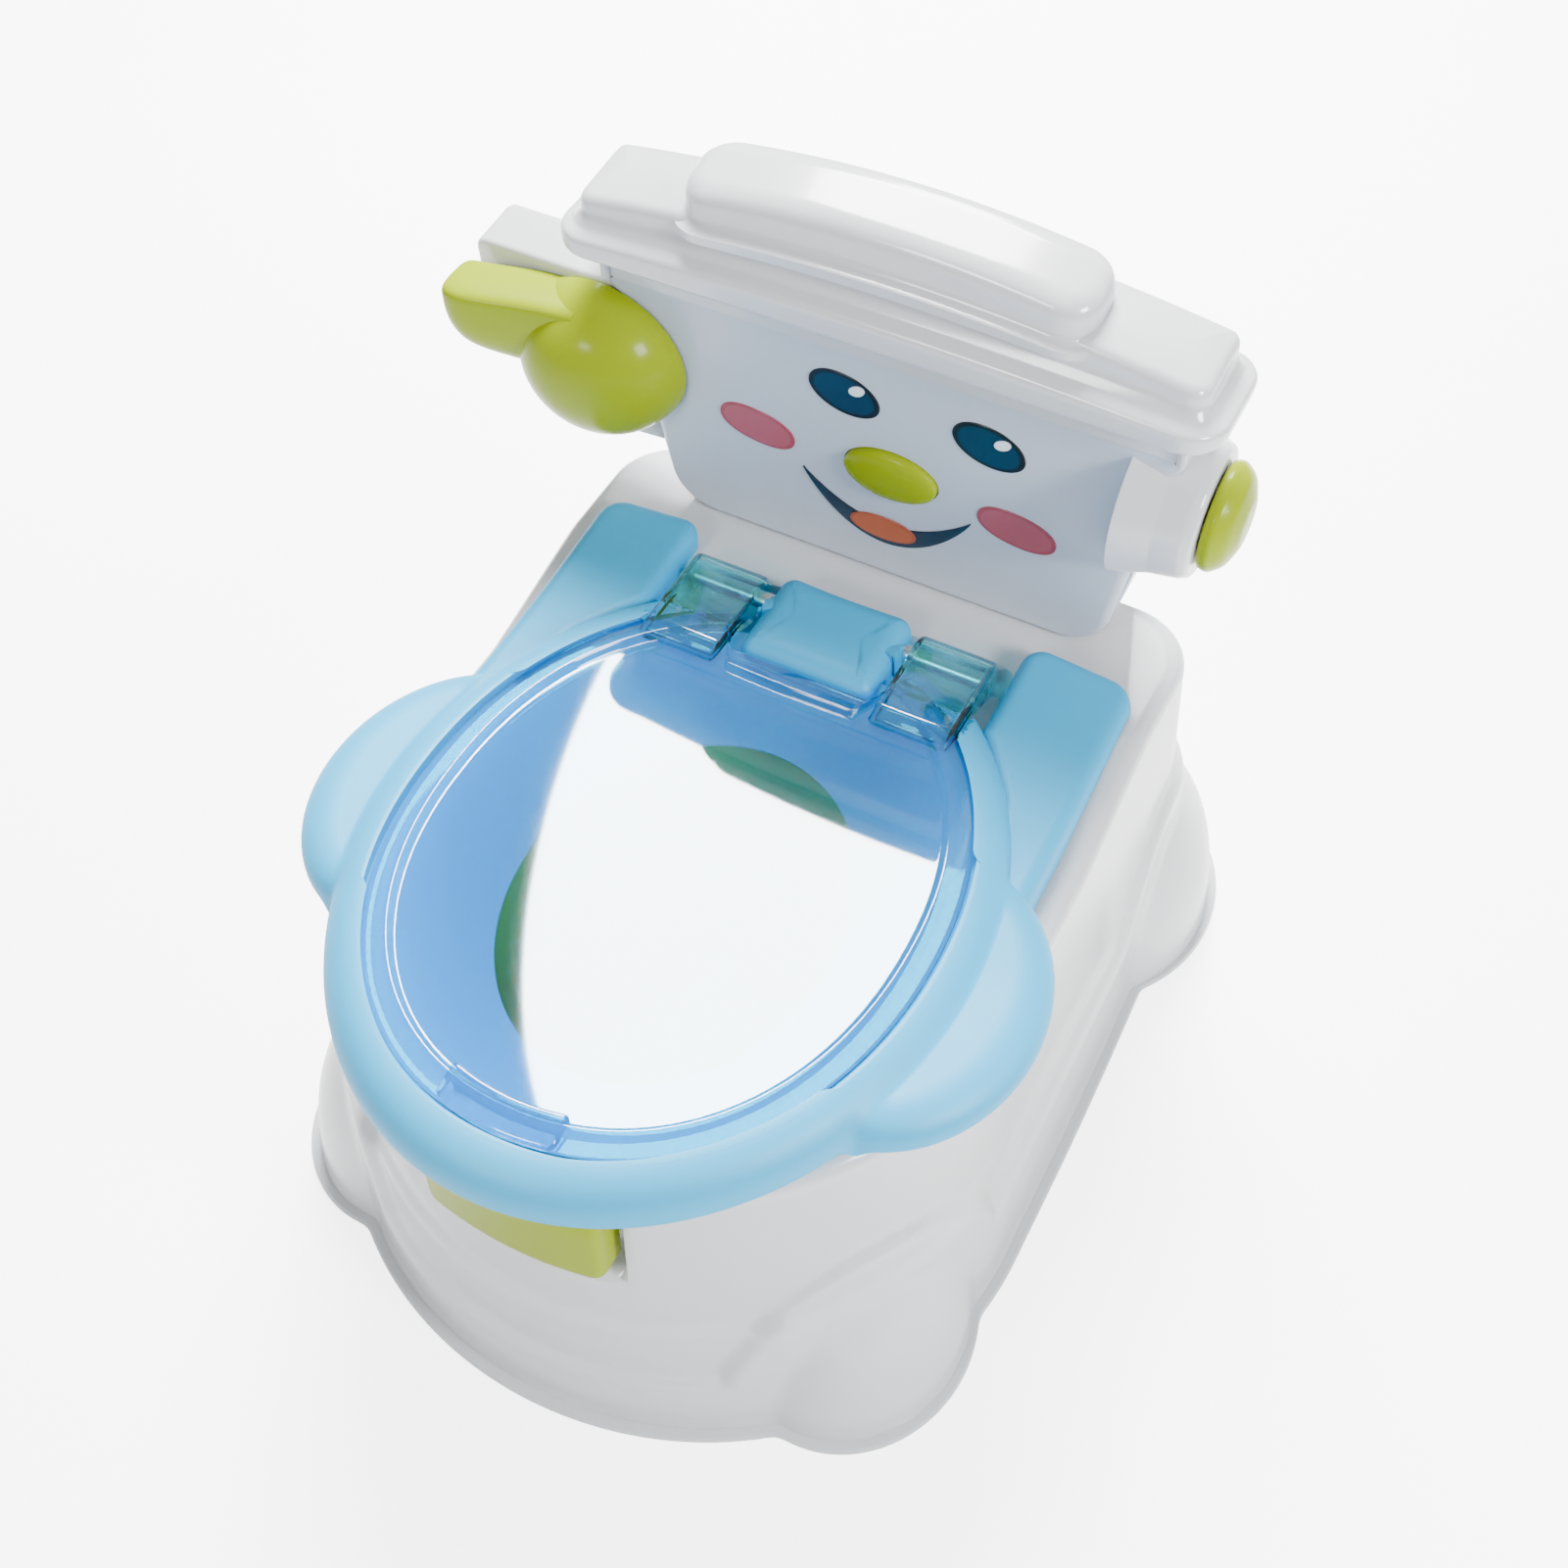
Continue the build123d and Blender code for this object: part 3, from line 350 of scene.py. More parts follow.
def skin_on(material, bump, values):
    """Feeds the material's shader from the moulded skin group with these values, and returns it."""
    nodes, links = material.node_tree.nodes, material.node_tree.links
    shader = nodes["Principled BSDF"]
    skin = nodes.new("ShaderNodeGroup")
    skin.node_tree = moulded_skin()
    for label, value in values.items():
        skin.inputs[label].default_value = value
    relief = nodes.new("ShaderNodeBump")
    relief.inputs["Strength"].default_value = bump
    relief.inputs["Distance"].default_value = 0.001
    links.new(skin.outputs["Color"], shader.inputs["Base Color"])
    links.new(skin.outputs["Roughness"], shader.inputs["Roughness"])
    links.new(skin.outputs["Height"], relief.inputs["Height"])
    links.new(relief.outputs["Normal"], shader.inputs["Normal"])
    return shader


def moulded(name, colour, roughness, grain_scale=900.0, grain=0.3, cloud=0.04, smear=0.06,
            bump=0.02, coat=0.0, scatter=0.0):
    """Principled plastic whose colour, roughness and relief come from the moulded skin group."""
    if name in bpy.data.materials:
        return bpy.data.materials[name]
    made = bpy.data.materials.new(name)
    made.use_nodes = True
    shader = skin_on(made, bump, {"Color": (*colour, 1), "Roughness": roughness, "Grain": grain,
                                  "Grain Scale": grain_scale, "Cloud": cloud, "Smear": smear})
    shader.inputs["IOR"].default_value = 1.5
    shader.inputs["Coat Weight"].default_value = coat
    shader.inputs["Coat Roughness"].default_value = 0.06
    if scatter:
        shader.inputs["Subsurface Weight"].default_value = scatter
        shader.inputs["Subsurface Radius"].default_value = (0.006, 0.005, 0.005)
        shader.inputs["Subsurface Scale"].default_value = 1.0
    return made


def clear_azure(settings, name="Clear Azure Plastic", power=1.0):
    """Tinted clear plastic: glass-like, and it lets light through to what it covers. The tint is
    raised to a power, low for thin walls seen several deep."""
    if name in bpy.data.materials:
        return bpy.data.materials[name]
    made = bpy.data.materials.new(name)
    made.use_nodes = True
    nodes, links = made.node_tree.nodes, made.node_tree.links
    tint = (*(c ** power for c in settings.lid_colour), 1)
    shader = skin_on(made, 0.12, {"Color": tint, "Roughness": 0.05, "Smear": 0.04, "Cloud": 0.02,
                                  "Grain": 0.0})
    shader.inputs["Transmission Weight"].default_value = 1.0
    shader.inputs["IOR"].default_value = 1.15
    shader.inputs["Coat Weight"].default_value = 1.0
    shader.inputs["Coat IOR"].default_value = 1.8
    shader.inputs["Coat Roughness"].default_value = 0.03
    passing = nodes.new("ShaderNodeBsdfTransparent")
    passing.inputs["Color"].default_value = tint
    path = nodes.new("ShaderNodeLightPath")
    either = nodes.new("ShaderNodeMath")
    either.operation = "MAXIMUM"
    links.new(path.outputs["Is Shadow Ray"], either.inputs[0])
    links.new(path.outputs["Is Diffuse Ray"], either.inputs[1])
    mix = nodes.new("ShaderNodeMixShader")
    links.new(either.outputs[0], mix.inputs["Fac"])
    links.new(shader.outputs["BSDF"], mix.inputs[1])
    links.new(passing.outputs["BSDF"], mix.inputs[2])
    links.new(mix.outputs["Shader"], nodes["Material Output"].inputs["Surface"])
    return made


def printed_ink(name, colour, edge_colour, edge_from):
    """Ink film: its colour inside and a dark outline where the rim attribute passes a value."""
    if name in bpy.data.materials:
        return bpy.data.materials[name]
    made = moulded(name, colour, 0.3, grain=0.1, cloud=0.06, bump=0.01)
    nodes, links = made.node_tree.nodes, made.node_tree.links
    skin = next(n for n in nodes if n.type == "GROUP")
    mark = nodes.new("ShaderNodeAttribute")
    mark.attribute_name = "rim"
    over = nodes.new("ShaderNodeMath")
    over.operation = "GREATER_THAN"
    over.inputs[1].default_value = edge_from
    mix = nodes.new("ShaderNodeMix")
    mix.data_type = "RGBA"
    mix.inputs["B"].default_value = (*edge_colour, 1)
    links.new(mark.outputs["Fac"], over.inputs[0])
    links.new(over.outputs[0], mix.inputs["Factor"])
    links.new(skin.outputs["Color"], mix.inputs["A"])
    links.new(mix.outputs["Result"], nodes["Principled BSDF"].inputs["Base Color"])
    return made


def metal(name, colour, roughness):
    """Bright metal with fine smears."""
    made = moulded(name, colour, roughness, grain_scale=1400.0, grain=0.4, cloud=0.08, smear=0.15)
    made.node_tree.nodes["Principled BSDF"].inputs["Metallic"].default_value = 1.0
    return made


def camera_gain(tree, socket, extra, base):
    """Strength that is base as light and base plus extra where the camera looks straight at it."""
    seen = tree.nodes.new("ShaderNodeLightPath")
    gain = tree.nodes.new("ShaderNodeMath")
    gain.operation = "MULTIPLY_ADD"
    gain.inputs[1].default_value, gain.inputs[2].default_value = extra, base
    tree.links.new(seen.outputs["Is Camera Ray"], gain.inputs[0])
    tree.links.new(gain.outputs[0], socket)


def white_plastic(settings):
    """Glossy white of the base, the cistern and its cap."""
    return moulded("Gloss White Plastic", settings.white_colour, 0.16, bump=0.012, coat=0.25,
                   scatter=0.12)


def lime_plastic(settings):
    """Glossy yellow-green of the pot, the lever, the nose and the disc."""
    made = moulded("Gloss Lime Plastic", settings.lime_colour, 0.24, bump=0.012, coat=0.06)
    made.node_tree.nodes["Principled BSDF"].inputs["Specular IOR Level"].default_value = 0.08
    return made


def blue_plastic(settings):
    """Satin light blue of the seat, with a spark-eroded grain."""
    return moulded("Satin Blue Plastic", settings.seat_colour, 0.5, grain_scale=1700.0, grain=1.0,
                   cloud=0.03, smear=0.08, bump=0.05)


# ---------------------------------------------------------------- shapes of the base

MIDDLE_Y = -10.0
SHOULDER_Y = -60.0
FOOT_OUTLINE = (135.0, -186.0, 166.0, 46.0)
TOP_OUTLINE = (124.0, -182.0, 130.0, 26.0)
FRONT_LOBE = (96.0, -112.0, 46.0, 53.0, 90.0)
REAR_LOBE = (101.0, 121.0, 53.5, 62.0, 94.0)


def half_outline(half_w, front, rear, corner):
    """Right half of the base's outline: quarter ellipse, straight side, corner arc, straight rear."""
    t = np.linspace(-math.pi / 2, 0, 90)
    a = np.linspace(0, math.pi / 2, 24)
    nose = np.stack([half_w * np.cos(t), SHOULDER_Y + (SHOULDER_Y - front) * np.sin(t)], axis=1)
    bend = np.stack([half_w - corner + corner * np.cos(a), rear - corner + corner * np.sin(a)], axis=1)
    return even(np.vstack([nose, bend, [[0, rear]]]), 1500, closed=False)


def reach_of(outline, theta):
    """Distance from the base's middle to an outline, theta being measured from the front."""
    x, y = outline[:, 0], outline[:, 1] - MIDDLE_Y
    angle = np.arctan2(x, -y)
    return np.interp(np.abs(theta), angle, np.hypot(x, y))


def far_crossing(theta, cx, cy, rx, ry, oy=MIDDLE_Y):
    """Where a ray from (0, oy) at theta, measured from the front, leaves an ellipse, or 0 if it
    misses it."""
    dx, dy = np.sin(theta), -np.cos(theta)
    a = (dx / rx) ** 2 + (dy / ry) ** 2
    b = -cx * dx / rx ** 2 + (oy - cy) * dy / ry ** 2
    c = (cx / rx) ** 2 + ((oy - cy) / ry) ** 2 - 1
    disc = b * b - a * c
    return np.where(disc > 0, (-b + np.sqrt(np.maximum(disc, 0))) / a, 0)


def wall_reach(theta, z, settings):
    """Distance from the middle axis to the base's wall: the tapering body, raised by a soft step
    under the fender line, in a soft union with the four domed corner lobes."""
    foot = half_outline(*FOOT_OUTLINE)
    top = half_outline(*TOP_OUTLINE)
    t = np.clip(z / 182.0, 0, 1)
    body = (1 - t) * reach_of(foot, theta) + t * reach_of(top, theta)
    side = np.abs(theta)
    line = 40 + 10 * np.sin(side) ** 2 - 6 * np.cos(2 * side)
    below = (line - z) / 3.4
    lobes = np.zeros_like(body)
    for cx, cy, rx, ry, rz in (FRONT_LOBE, REAR_LOBE):
        flat = np.sqrt(np.maximum(1 - (z / rz) ** 2, 1e-4))
        wide = np.sqrt(np.maximum(1 - (z / (rz + 20)) ** 2, 1e-4))
        hit = far_crossing(side, cx, cy, rx * flat, ry * flat)
        ring = far_crossing(side, cx, cy, (rx + 17) * wide, (ry + 18) * wide)
        lobes = np.maximum(lobes, np.where(z < rz, hit, 0))
        below = np.maximum(below, np.where((z < rz + 20) & (ring > 0), (ring - body - 8) / 3.0, -9))
    body = body + settings.fender_step / MM * step(below)
    front = np.exp(-(side / 0.95) ** 4)
    body = body + 4.2 * front * step((74 - 8 * np.cos(3 * side) - z) / 3.4)
    return smooth_max(body, lobes, 3.0)


def deck_height(x, y):
    """Deck: low in front, a ramp to the rear deck, and the sunk pocket round the hinge."""
    rise = ease((y - RAMP_FRONT_Y + 4) / (RAMP_REAR_Y - RAMP_FRONT_Y + 8))
    rise = np.clip((y - RAMP_FRONT_Y) / (RAMP_REAR_Y - RAMP_FRONT_Y), 0, 1) * 0.7 + 0.3 * rise
    pocket = ease((70.5 - np.abs(x)) / 3.0) * ease((75 - y) / 3.0)
    return DECK_Z + (REAR_DECK_Z - DECK_Z) * rise * (1 - pocket)


def handle_dent(theta, reach, z):
    """How far the front wall is let in behind the pot's handle."""
    x = np.sin(theta) * reach
    across = ease((40.5 - np.abs(x)) / 3.0) * (np.abs(theta) < 0.6)
    return 14.0 * across * ease((z - 97) / 8.0)


def base_skin(settings):
    """Closed shell as rings about the middle axis: foot flange, wall, rounded shoulder, deck,
    well edge, and back down the inside one wall thickness in."""
    columns = 520
    theta = (np.arange(columns) + 0.5) * TAU / columns - math.pi
    dx, dy = np.sin(theta), -np.cos(theta)

    def at(reach, z):
        z = np.broadcast_to(z, reach.shape)
        return np.stack([reach * dx, MIDDLE_Y + reach * dy, z], axis=-1)

    floor = wall_reach(theta, np.zeros(columns), settings)
    low = [at(floor - WALL, 0.0), at(floor + 4.4, 0.0), at(floor + 5.2, 0.8), at(floor + 5.2, 2.4),
           at(floor + 4.4, 3.2), at(floor + 0.8, 3.2)]
    well = far_crossing(theta, 0.0, SEAT_Y, 92.0, 98.0)
    guess = reach_of(half_outline(*TOP_OUTLINE), theta)
    top = deck_height(guess * dx * 1.2, MIDDLE_Y + guess * dy)
    radius = settings.shoulder_round / MM
    t = np.concatenate([np.linspace(0, 0.1, 5)[1:], np.linspace(0.1, 1, 62)[1:]])[:, None]
    z = 3.0 + t * (top - radius - 3.0)
    wall = wall_reach(theta[None], z, settings)
    wall = wall - handle_dent(theta[None], wall, z)
    shoulder = wall_reach(theta, top - radius, settings)
    shoulder = shoulder - handle_dent(theta, shoulder, top - radius)
    phi = np.linspace(0, math.pi / 2, 9)[1:, None]
    bend = shoulder - radius * (1 - np.cos(phi))
    bend_z = top - radius + radius * np.sin(phi)
    s = np.linspace(0, 1, 60)[1:, None]
    deck = bend[-1] + (well + 1.0 - bend[-1]) * s
    blend = 1 - ease(s * 5)
    deck_z = deck_height(deck * dx, MIDDLE_Y + deck * dy) * (1 - blend) + top * blend
    edge = [at(well + 0.3, deck_z[-1] - 0.3), at(well, deck_z[-1] - 1.0), at(well, 152.0),
            at(well + WALL, 152.0)]
    back = np.linspace(1, 0, 26)[:, None]
    under = well + WALL + (shoulder - 2 * WALL - well) * (1 - back)
    under_z = np.minimum(deck_height(under * dx, MIDDLE_Y + under * dy), top) - WALL - 0.4
    inner_t = np.linspace(1, 0, 22)[1:-1, None]
    inner_z = inner_t * (top - radius - WALL)
    inner = wall_reach(theta[None], inner_z, settings)
    inner = inner - handle_dent(theta[None], inner, inner_z) - WALL
    rows = [np.stack(low), at(wall, z), at(bend, bend_z), at(deck, deck_z), np.stack(edge),
            at(under, under_z), at(inner, inner_z)]
    return np.concatenate(rows)


def dome(depth, width, low, high):
    """Quarter-ellipse rise over a width from an edge, falling away outside it."""
    u = np.clip(1 - depth / width, 0, 1)
    return np.where(depth > 0, low + (high - low) * np.sqrt(1 - u * u), low + 2.5 * depth)


def lid_reach(theta):
    """Superellipse (|x/rx|^p + |y/ry|^p = 1) as a distance from the seat's centre."""
    dx, dy = np.abs(np.sin(theta)), np.abs(np.cos(theta))
    return ((dx / LID_HALF_W) ** LID_POWER + (dy / LID_HALF_L) ** LID_POWER) ** (-1 / LID_POWER)


def ring_skin():
    """Seat ring and ears as rings about the seat's centre. The height is the soft union of the
    ring's and the ears' domes, kept low where the lid's arms lie. The skirt curls under, and the
    funnel and the hollow underside close the surface."""
    columns = 560
    theta = (np.arange(columns) + 0.5) * TAU / columns - math.pi
    dx, dy = np.sin(theta), -np.cos(theta)
    ring = far_crossing(theta, 0, SEAT_Y, 114.0, 137.0, SEAT_Y)
    ear = far_crossing(np.abs(theta), 92.0, -72.0, 48.0, 60.0, SEAT_Y)
    outer = smooth_max(ring, ear, 7.0)
    lid = lid_reach(theta) + 0.8

    def at(reach, z):
        z = np.broadcast_to(z, reach.shape)
        return np.stack([reach * dx, SEAT_Y + reach * dy, z], axis=-1)

    def arm_room(x, y):
        """Height the seat must stay under: free of the lid's arms over the ring and behind it."""
        across = ease((np.abs(x) - 28.2) / 1.0) * ease((66.5 - np.abs(x)) / 1.5)
        return 220 - across * (37.2 * ease((y - 9) / 2.0) + 17.0 * ease((y - 41) / 4.0))

    def top_z(reach):
        body = dome(ring - reach, RING_ROUND, 173.0, 188.4)
        lobe = np.where(ear > 0, dome(ear - reach, RING_ROUND, 171.0, 182.0), 120.0)
        return np.minimum(smooth_max(body, lobe, 3.5), arm_room(reach * dx, SEAT_Y + reach * dy))

    phi = np.linspace(math.pi / 2, 0, 13)[:, None]
    flat = lid + 1.2 + (outer - RING_ROUND - lid - 1.2) * np.linspace(0, 1, 40)[:-1, None]
    curl = outer - RING_ROUND * (1 - np.sin(np.pi / 2 - phi))
    upper = np.concatenate([flat, curl])
    upper_z = top_z(upper - 1e-6)
    rim_z = upper_z[-1]

    def down(share):
        return rim_z + (162.6 - rim_z) * share

    skirt = [at(outer, down(0.08)), at(outer - 0.7, down(0.22)), at(outer - 2.2, down(0.36)),
             at(outer - 4.6, down(0.5)), at(outer - 7.2, down(0.58)), at(outer - 8.6, down(0.7)),
             at(outer - 9.0, down(0.97)), at(outer - 9.6, down(1.0)), at(outer - 10.6, down(1.0)),
             at(outer - 11.2, down(0.9)), at(outer - 11.6, down(0.5))]
    hole = far_crossing(theta, 0, SEAT_Y, 60.0, 77.0, SEAT_Y)
    start = lid - 7
    t = np.linspace(0, 1, 26)[:, None]
    inner = start + (hole - start) * t
    inner_z = np.minimum(183.0 - 25.5 * (0.45 * t + 0.55 * t ** 2) + 0 * inner,
                         arm_room(inner * dx, SEAT_Y + inner * dy))
    below = inner + 2.0
    below_z = inner_z - 2.4
    lip = [at(hole + 0.4, np.full(columns, 156.3)), at(hole + 1.5, np.full(columns, 155.9)),
           at(hole + 2.6, np.full(columns, 156.3))]
    under = (outer - 13.0) + (lid + 0.5 - outer + 13.0) * np.linspace(0, 1, 6)[:, None]
    under_z = np.minimum(top_z(under) - 3.0, 178.0)
    ledge_z = np.minimum(183.4, upper_z[0] - 0.4)
    ledge = [at(lid, upper_z[0] - 0.2), at(lid, ledge_z), at(lid - 0.6, np.minimum(183.0, ledge_z))]
    rows = [at(upper, upper_z), np.stack(skirt), at(under, under_z),
            at(below[:-2], below_z[:-2]), np.stack(lip[::-1]), at(inner[::-1], inner_z[::-1]),
            np.stack(ledge[::-1])]
    return np.concatenate(rows)


def pad_skin(side):
    """Rear pad: rounded strip whose top rises to the rear and falls outwards."""
    corners = [(103.0, -46.0), (115.0, -46.0), (115.0, 84.0), (70.0, 84.0), (70.0, 38.0), (88.0, 14.0)]
    outline = closed_outline(corners, [3, 5, 11, 9, 4, 6], 220)
    profile = [(1.2, -60), (0, -59)] + quarter(6.0, 6.0, -6.0, 8)

    def lift(x, y, h):
        along = np.clip((y + 46) / 130, 0, 1)
        top = 177.0 + 3.6 * np.clip(along / 0.4, 0, 1) + 7.6 * np.clip((along - 0.4) / 0.6, 0, 1)
        top = top - 4.0 * ((x - 70) / 45) * ease(along * 1.5)
        low = 162.8 + 14 * np.clip((y - RAMP_FRONT_Y) / (RAMP_REAR_Y - RAMP_FRONT_Y), 0, 1)
        return np.maximum(top + h, low + np.where(h < -59.5, 0, 0.8))

    def core(points):
        y = np.clip(points[:, 1], -20, 62)
        return np.stack([np.interp(y, [-20, 20, 62], [108.5, 100.0, 92.5]), y], axis=1)

    grid = stack(outline, profile, lift, core, cap_rows=10)
    return grid * np.array([side, 1, 1])


def hump_skin():
    """Pillow between the lid's arms: rounded block, lower in front, slightly hollow at the rear."""
    corners = [(-27.8, 31.0), (27.8, 31.0), (27.8, 73.8), (-27.8, 73.8)]
    outline = closed_outline(corners, [5, 5, 7, 7], 160)
    bow = 2.2 * (1 - (outline[:, 0] / 28) ** 2) * (outline[:, 1] > 60)
    outline = outline - np.stack([np.zeros(160), bow], axis=1)
    profile = [(1, -25), (0, -24)] + quarter(8.0, 7.0, -7.0, 9)

    def lift(x, y, h):
        top = 189.6 + 1.4 * np.clip((y - 31) / 43, 0, 1) - 1.3 * (x / 28) ** 2
        return np.maximum(top + h, 166.2)

    return stack(outline, profile, lift, line_core(14, 0, 52), cap_rows=8)


def lid_skin(settings):
    """Clear lid as rings about the seat's centre: flat plate, a raised crowned rim of the set
    width, and a notch in the rear edge for the hump."""
    columns = 640
    theta = (np.arange(columns) + 0.5) * TAU / columns - math.pi
    dx, dy = np.sin(theta), -np.cos(theta)
    oval = lid_reach(theta)
    off = math.pi - np.abs(theta)
    notch = (29.4 - SEAT_Y) / np.maximum(np.cos(off), 0.2)
    inside = 1 - ease((off - math.atan(29.0 / 95.4)) / 0.03)
    outer = np.where(off < 0.6, oval + (notch - oval) * inside, oval)
    rim = settings.lid_rim / MM
    profile = rounded([(60, 184.0), (4.6, 184.0), (2.6, 184.0), (0, 185.4), (1.0, 186.9),
                       (rim - 1.8, 189.3), (rim, 186.3), (rim + 1.5, 186.3), (rim + 2.5, 186.3),
                       (60, 186.3)], [0, 1.0, 1.0, 0.8, 1.0, 0.8, 0, 0], 5)
    reach = outer[None] - profile[:, :1]
    rings = np.stack([reach * dx, SEAT_Y + reach * dy, np.repeat(profile[:, 1:], columns, 1)], axis=2)
    t = np.linspace(0, 1, 8)[1:, None, None]
    middle = np.array([0, SEAT_Y])
    return np.concatenate([fan(rings[0], middle, t[::-1]), rings, fan(rings[-1], middle, t)])


def tab_skin():
    """Finger tab on the lid's front rim: a low bar that follows the rim's curve."""
    corners = [(-22.0, -13.5), (22.0, -13.5), (22.0, -1.2), (-22.0, -1.2)]
    outline = closed_outline(corners, [2.5, 2.5, 2.5, 2.5], 140)
    profile = [(0, 0.0)] + quarter(1.6, 1.6, 1.0, 6)
    grid = stack(outline, profile, None, line_core(16, 0, -7), cap_rows=5)
    bend = LID_HALF_L * (1 - np.sqrt(1 - (grid[..., 0] / LID_HALF_W) ** 2))
    y = SEAT_Y - LID_HALF_L + bend - grid[..., 1]
    slope = 0.22 * (grid[..., 1] + 13.5)
    return np.stack([-grid[..., 0], y, 187.6 + grid[..., 2] - slope], axis=2)


def arm_section(grow):
    """Side view of a lid arm: flat top running back into the round barrel about the hinge."""
    a = np.linspace(math.pi / 2, -math.pi * 0.62, 26)
    r = BARREL_R + grow
    barrel = np.stack([HINGE_Y + r * np.cos(a), HINGE_Z + r * np.sin(a)], axis=1)
    front = np.array([[44.0 - grow, 178.0 - grow], [38.0 - grow, 183.8 - grow], [20.0 - grow, 184.2 - grow],
                      [20.0 - grow, 187.2 + grow], [27.0, 190.0 + grow]])
    return even(np.vstack([front, barrel])[::-1], 120)


def arm_skin(side, x0, x1, grow, round_by):
    """The section carried along X between two planes, its ends rounded by drawing it in."""
    outline = arm_section(grow)
    span = x1 - x0
    phi = np.linspace(0, math.pi / 2, 6)
    low = [(round_by * (1 - math.sin(p)), round_by * (1 - math.cos(p))) for p in phi]
    high = [(inset, span - along) for inset, along in low[::-1]]
    grid = stack(outline, low + high, None, None, cap_rows=3)
    x = side * (x0 + grid[..., 2])
    return np.stack([x, grid[..., 0], grid[..., 1]], axis=2)


# ---------------------------------------------------------------- shapes of the cistern

def face_y(z):
    """Y of the leaning face at a height."""
    return FACE_Y - LEAN * (z - FACE_Z)


def tank_half_w(z):
    """Half width of the cistern at a height."""
    flare = (TANK_TOP_HALF_W - TANK_LOW_HALF_W) / (SEAM_Z - FACE_Z)
    return TANK_LOW_HALF_W + flare * (z - FACE_Z)


def face_outline(inset, high_z, count):
    """Front view of the cistern as (x, climb along the leaning face from its foot)."""
    climb = math.hypot(1, LEAN)
    low, high = tank_half_w(FACE_Z) - inset, tank_half_w(high_z) - inset
    z0, z1 = inset * climb, (high_z - FACE_Z) * climb
    corners = [(-low, z0), (low, z0), (high, z1), (-high, z1)]
    r = 20.0 - inset
    return closed_outline(corners, [r, r, 1.0, 1.0], count)


def face_panel(settings):
    """Face of the cistern: a front plate with the hole of the nose button, its side edges rounded
    more towards the top, and a U of side walls behind it."""
    outline = face_outline(0, SEAM_Z - 0.3, 520)
    climb = math.hypot(1, LEAN)
    top = outline[:, 1].max()
    grow = settings.face_round / MM
    edge = 0.35 + 0.65 * ease(outline[:, 1] / top * 1.1)
    edge = (edge * np.clip((top - outline[:, 1]) / 14, 0.06, 1))[:, None]
    normal = outward(outline)
    nose = np.array([NOSE_X, (NOSE_Z - FACE_Z) * climb])
    away = outline - nose
    reach = 1 / np.hypot(away[:, 0] / 19.4, away[:, 1] / 11.9)[:, None]
    hole = nose + away * reach

    def row(xy, out):
        return np.concatenate([xy, np.broadcast_to(out, (len(outline), 1))], axis=1)

    depth = np.maximum(grow * edge, 2.8)
    rows = [row(outline - normal * 0.4, -depth), row(outline, -depth + 0.1)]
    for p in np.linspace(0, math.pi / 2, 9):
        drawn_in = grow * edge * (1 - math.cos(p))
        rows.append(row(outline - normal * drawn_in, grow * edge * (math.sin(p) - 1)))
    start = rows[-1][:, :2]
    rows += [row(start + (hole - start) * t, 0.0) for t in np.linspace(0, 1, 26)[1:]]
    back = outline - normal * (grow * edge + 0.4)
    rows += [row(hole + (back - hole) * t, -2.8) for t in np.linspace(0, 1, 12)]
    plate = np.stack(rows)
    low = outline[outline[:, 1] < top - 0.5]
    split = int(np.argmax(np.linalg.norm(np.diff(low, axis=0), axis=1)))
    path = np.roll(low, -split - 1, axis=0)
    along = np.gradient(path, axis=0)
    side = np.stack([along[:, 1], -along[:, 0]], axis=1)
    side /= np.linalg.norm(side, axis=1)[:, None]
    section = np.array([[0.0, -PANEL_DEPTH], [0.0, -2.6], [WALL, -2.6], [WALL, -PANEL_DEPTH]])
    walls = np.concatenate([path[:, None] - side[:, None] * section[None, :, :1],
                            np.broadcast_to(section[None, :, 1:], (len(path), 4, 1))], axis=2)
    ends = [np.broadcast_to(walls[k].mean(axis=0), (1, 4, 3)) for k in (0, -1)]
    walls = np.concatenate([ends[0], walls, ends[1]])
    return join_meshes("face_panel", [
        make_mesh("face_plate", [on_face(plate, 0, FACE_Z)], loop=True),
        make_mesh("face_walls", [on_face(walls, 0, FACE_Z)])])


def tank_box(inset, low_z, high_z, front, rear_inset, corner):
    """The cistern's rear shell as rings going up: rounded in plan, its foot corners rounded too."""
    count = 260
    spots = np.concatenate([np.linspace(0, 20, 12), [60, high_z - FACE_Z]]) + max(low_z, FACE_Z)
    spots[-1] = high_z
    rows = []
    for z in spots:
        drop = max(0.0, 20 - (z - low_z))
        half = tank_half_w(z) - inset - (20 - math.sqrt(max(0.0, 400 - drop * drop)))
        y0 = face_y(z) + front
        run = (TANK_REAR_TOP_Y - TANK_REAR_LOW_Y) / (SEAM_Z - REAR_DECK_Z)
        y1 = TANK_REAR_LOW_Y + run * (z - REAR_DECK_Z) - rear_inset
        ring = closed_outline([(-half, y0), (half, y0), (half, y1), (-half, y1)],
                              [0.8, 0.8, corner, corner], count)
        rows.append(np.concatenate([ring, np.full((count, 1), z)], axis=1))
    rings = np.stack(rows)
    t = np.linspace(0, 1, 3)[1:, None, None]
    low, high = [np.array([0, ring[:, 1].mean()]) for ring in (rings[0], rings[-1])]
    return np.concatenate([fan(rings[0], low, t[::-1]), rings, fan(rings[-1], high, t)])


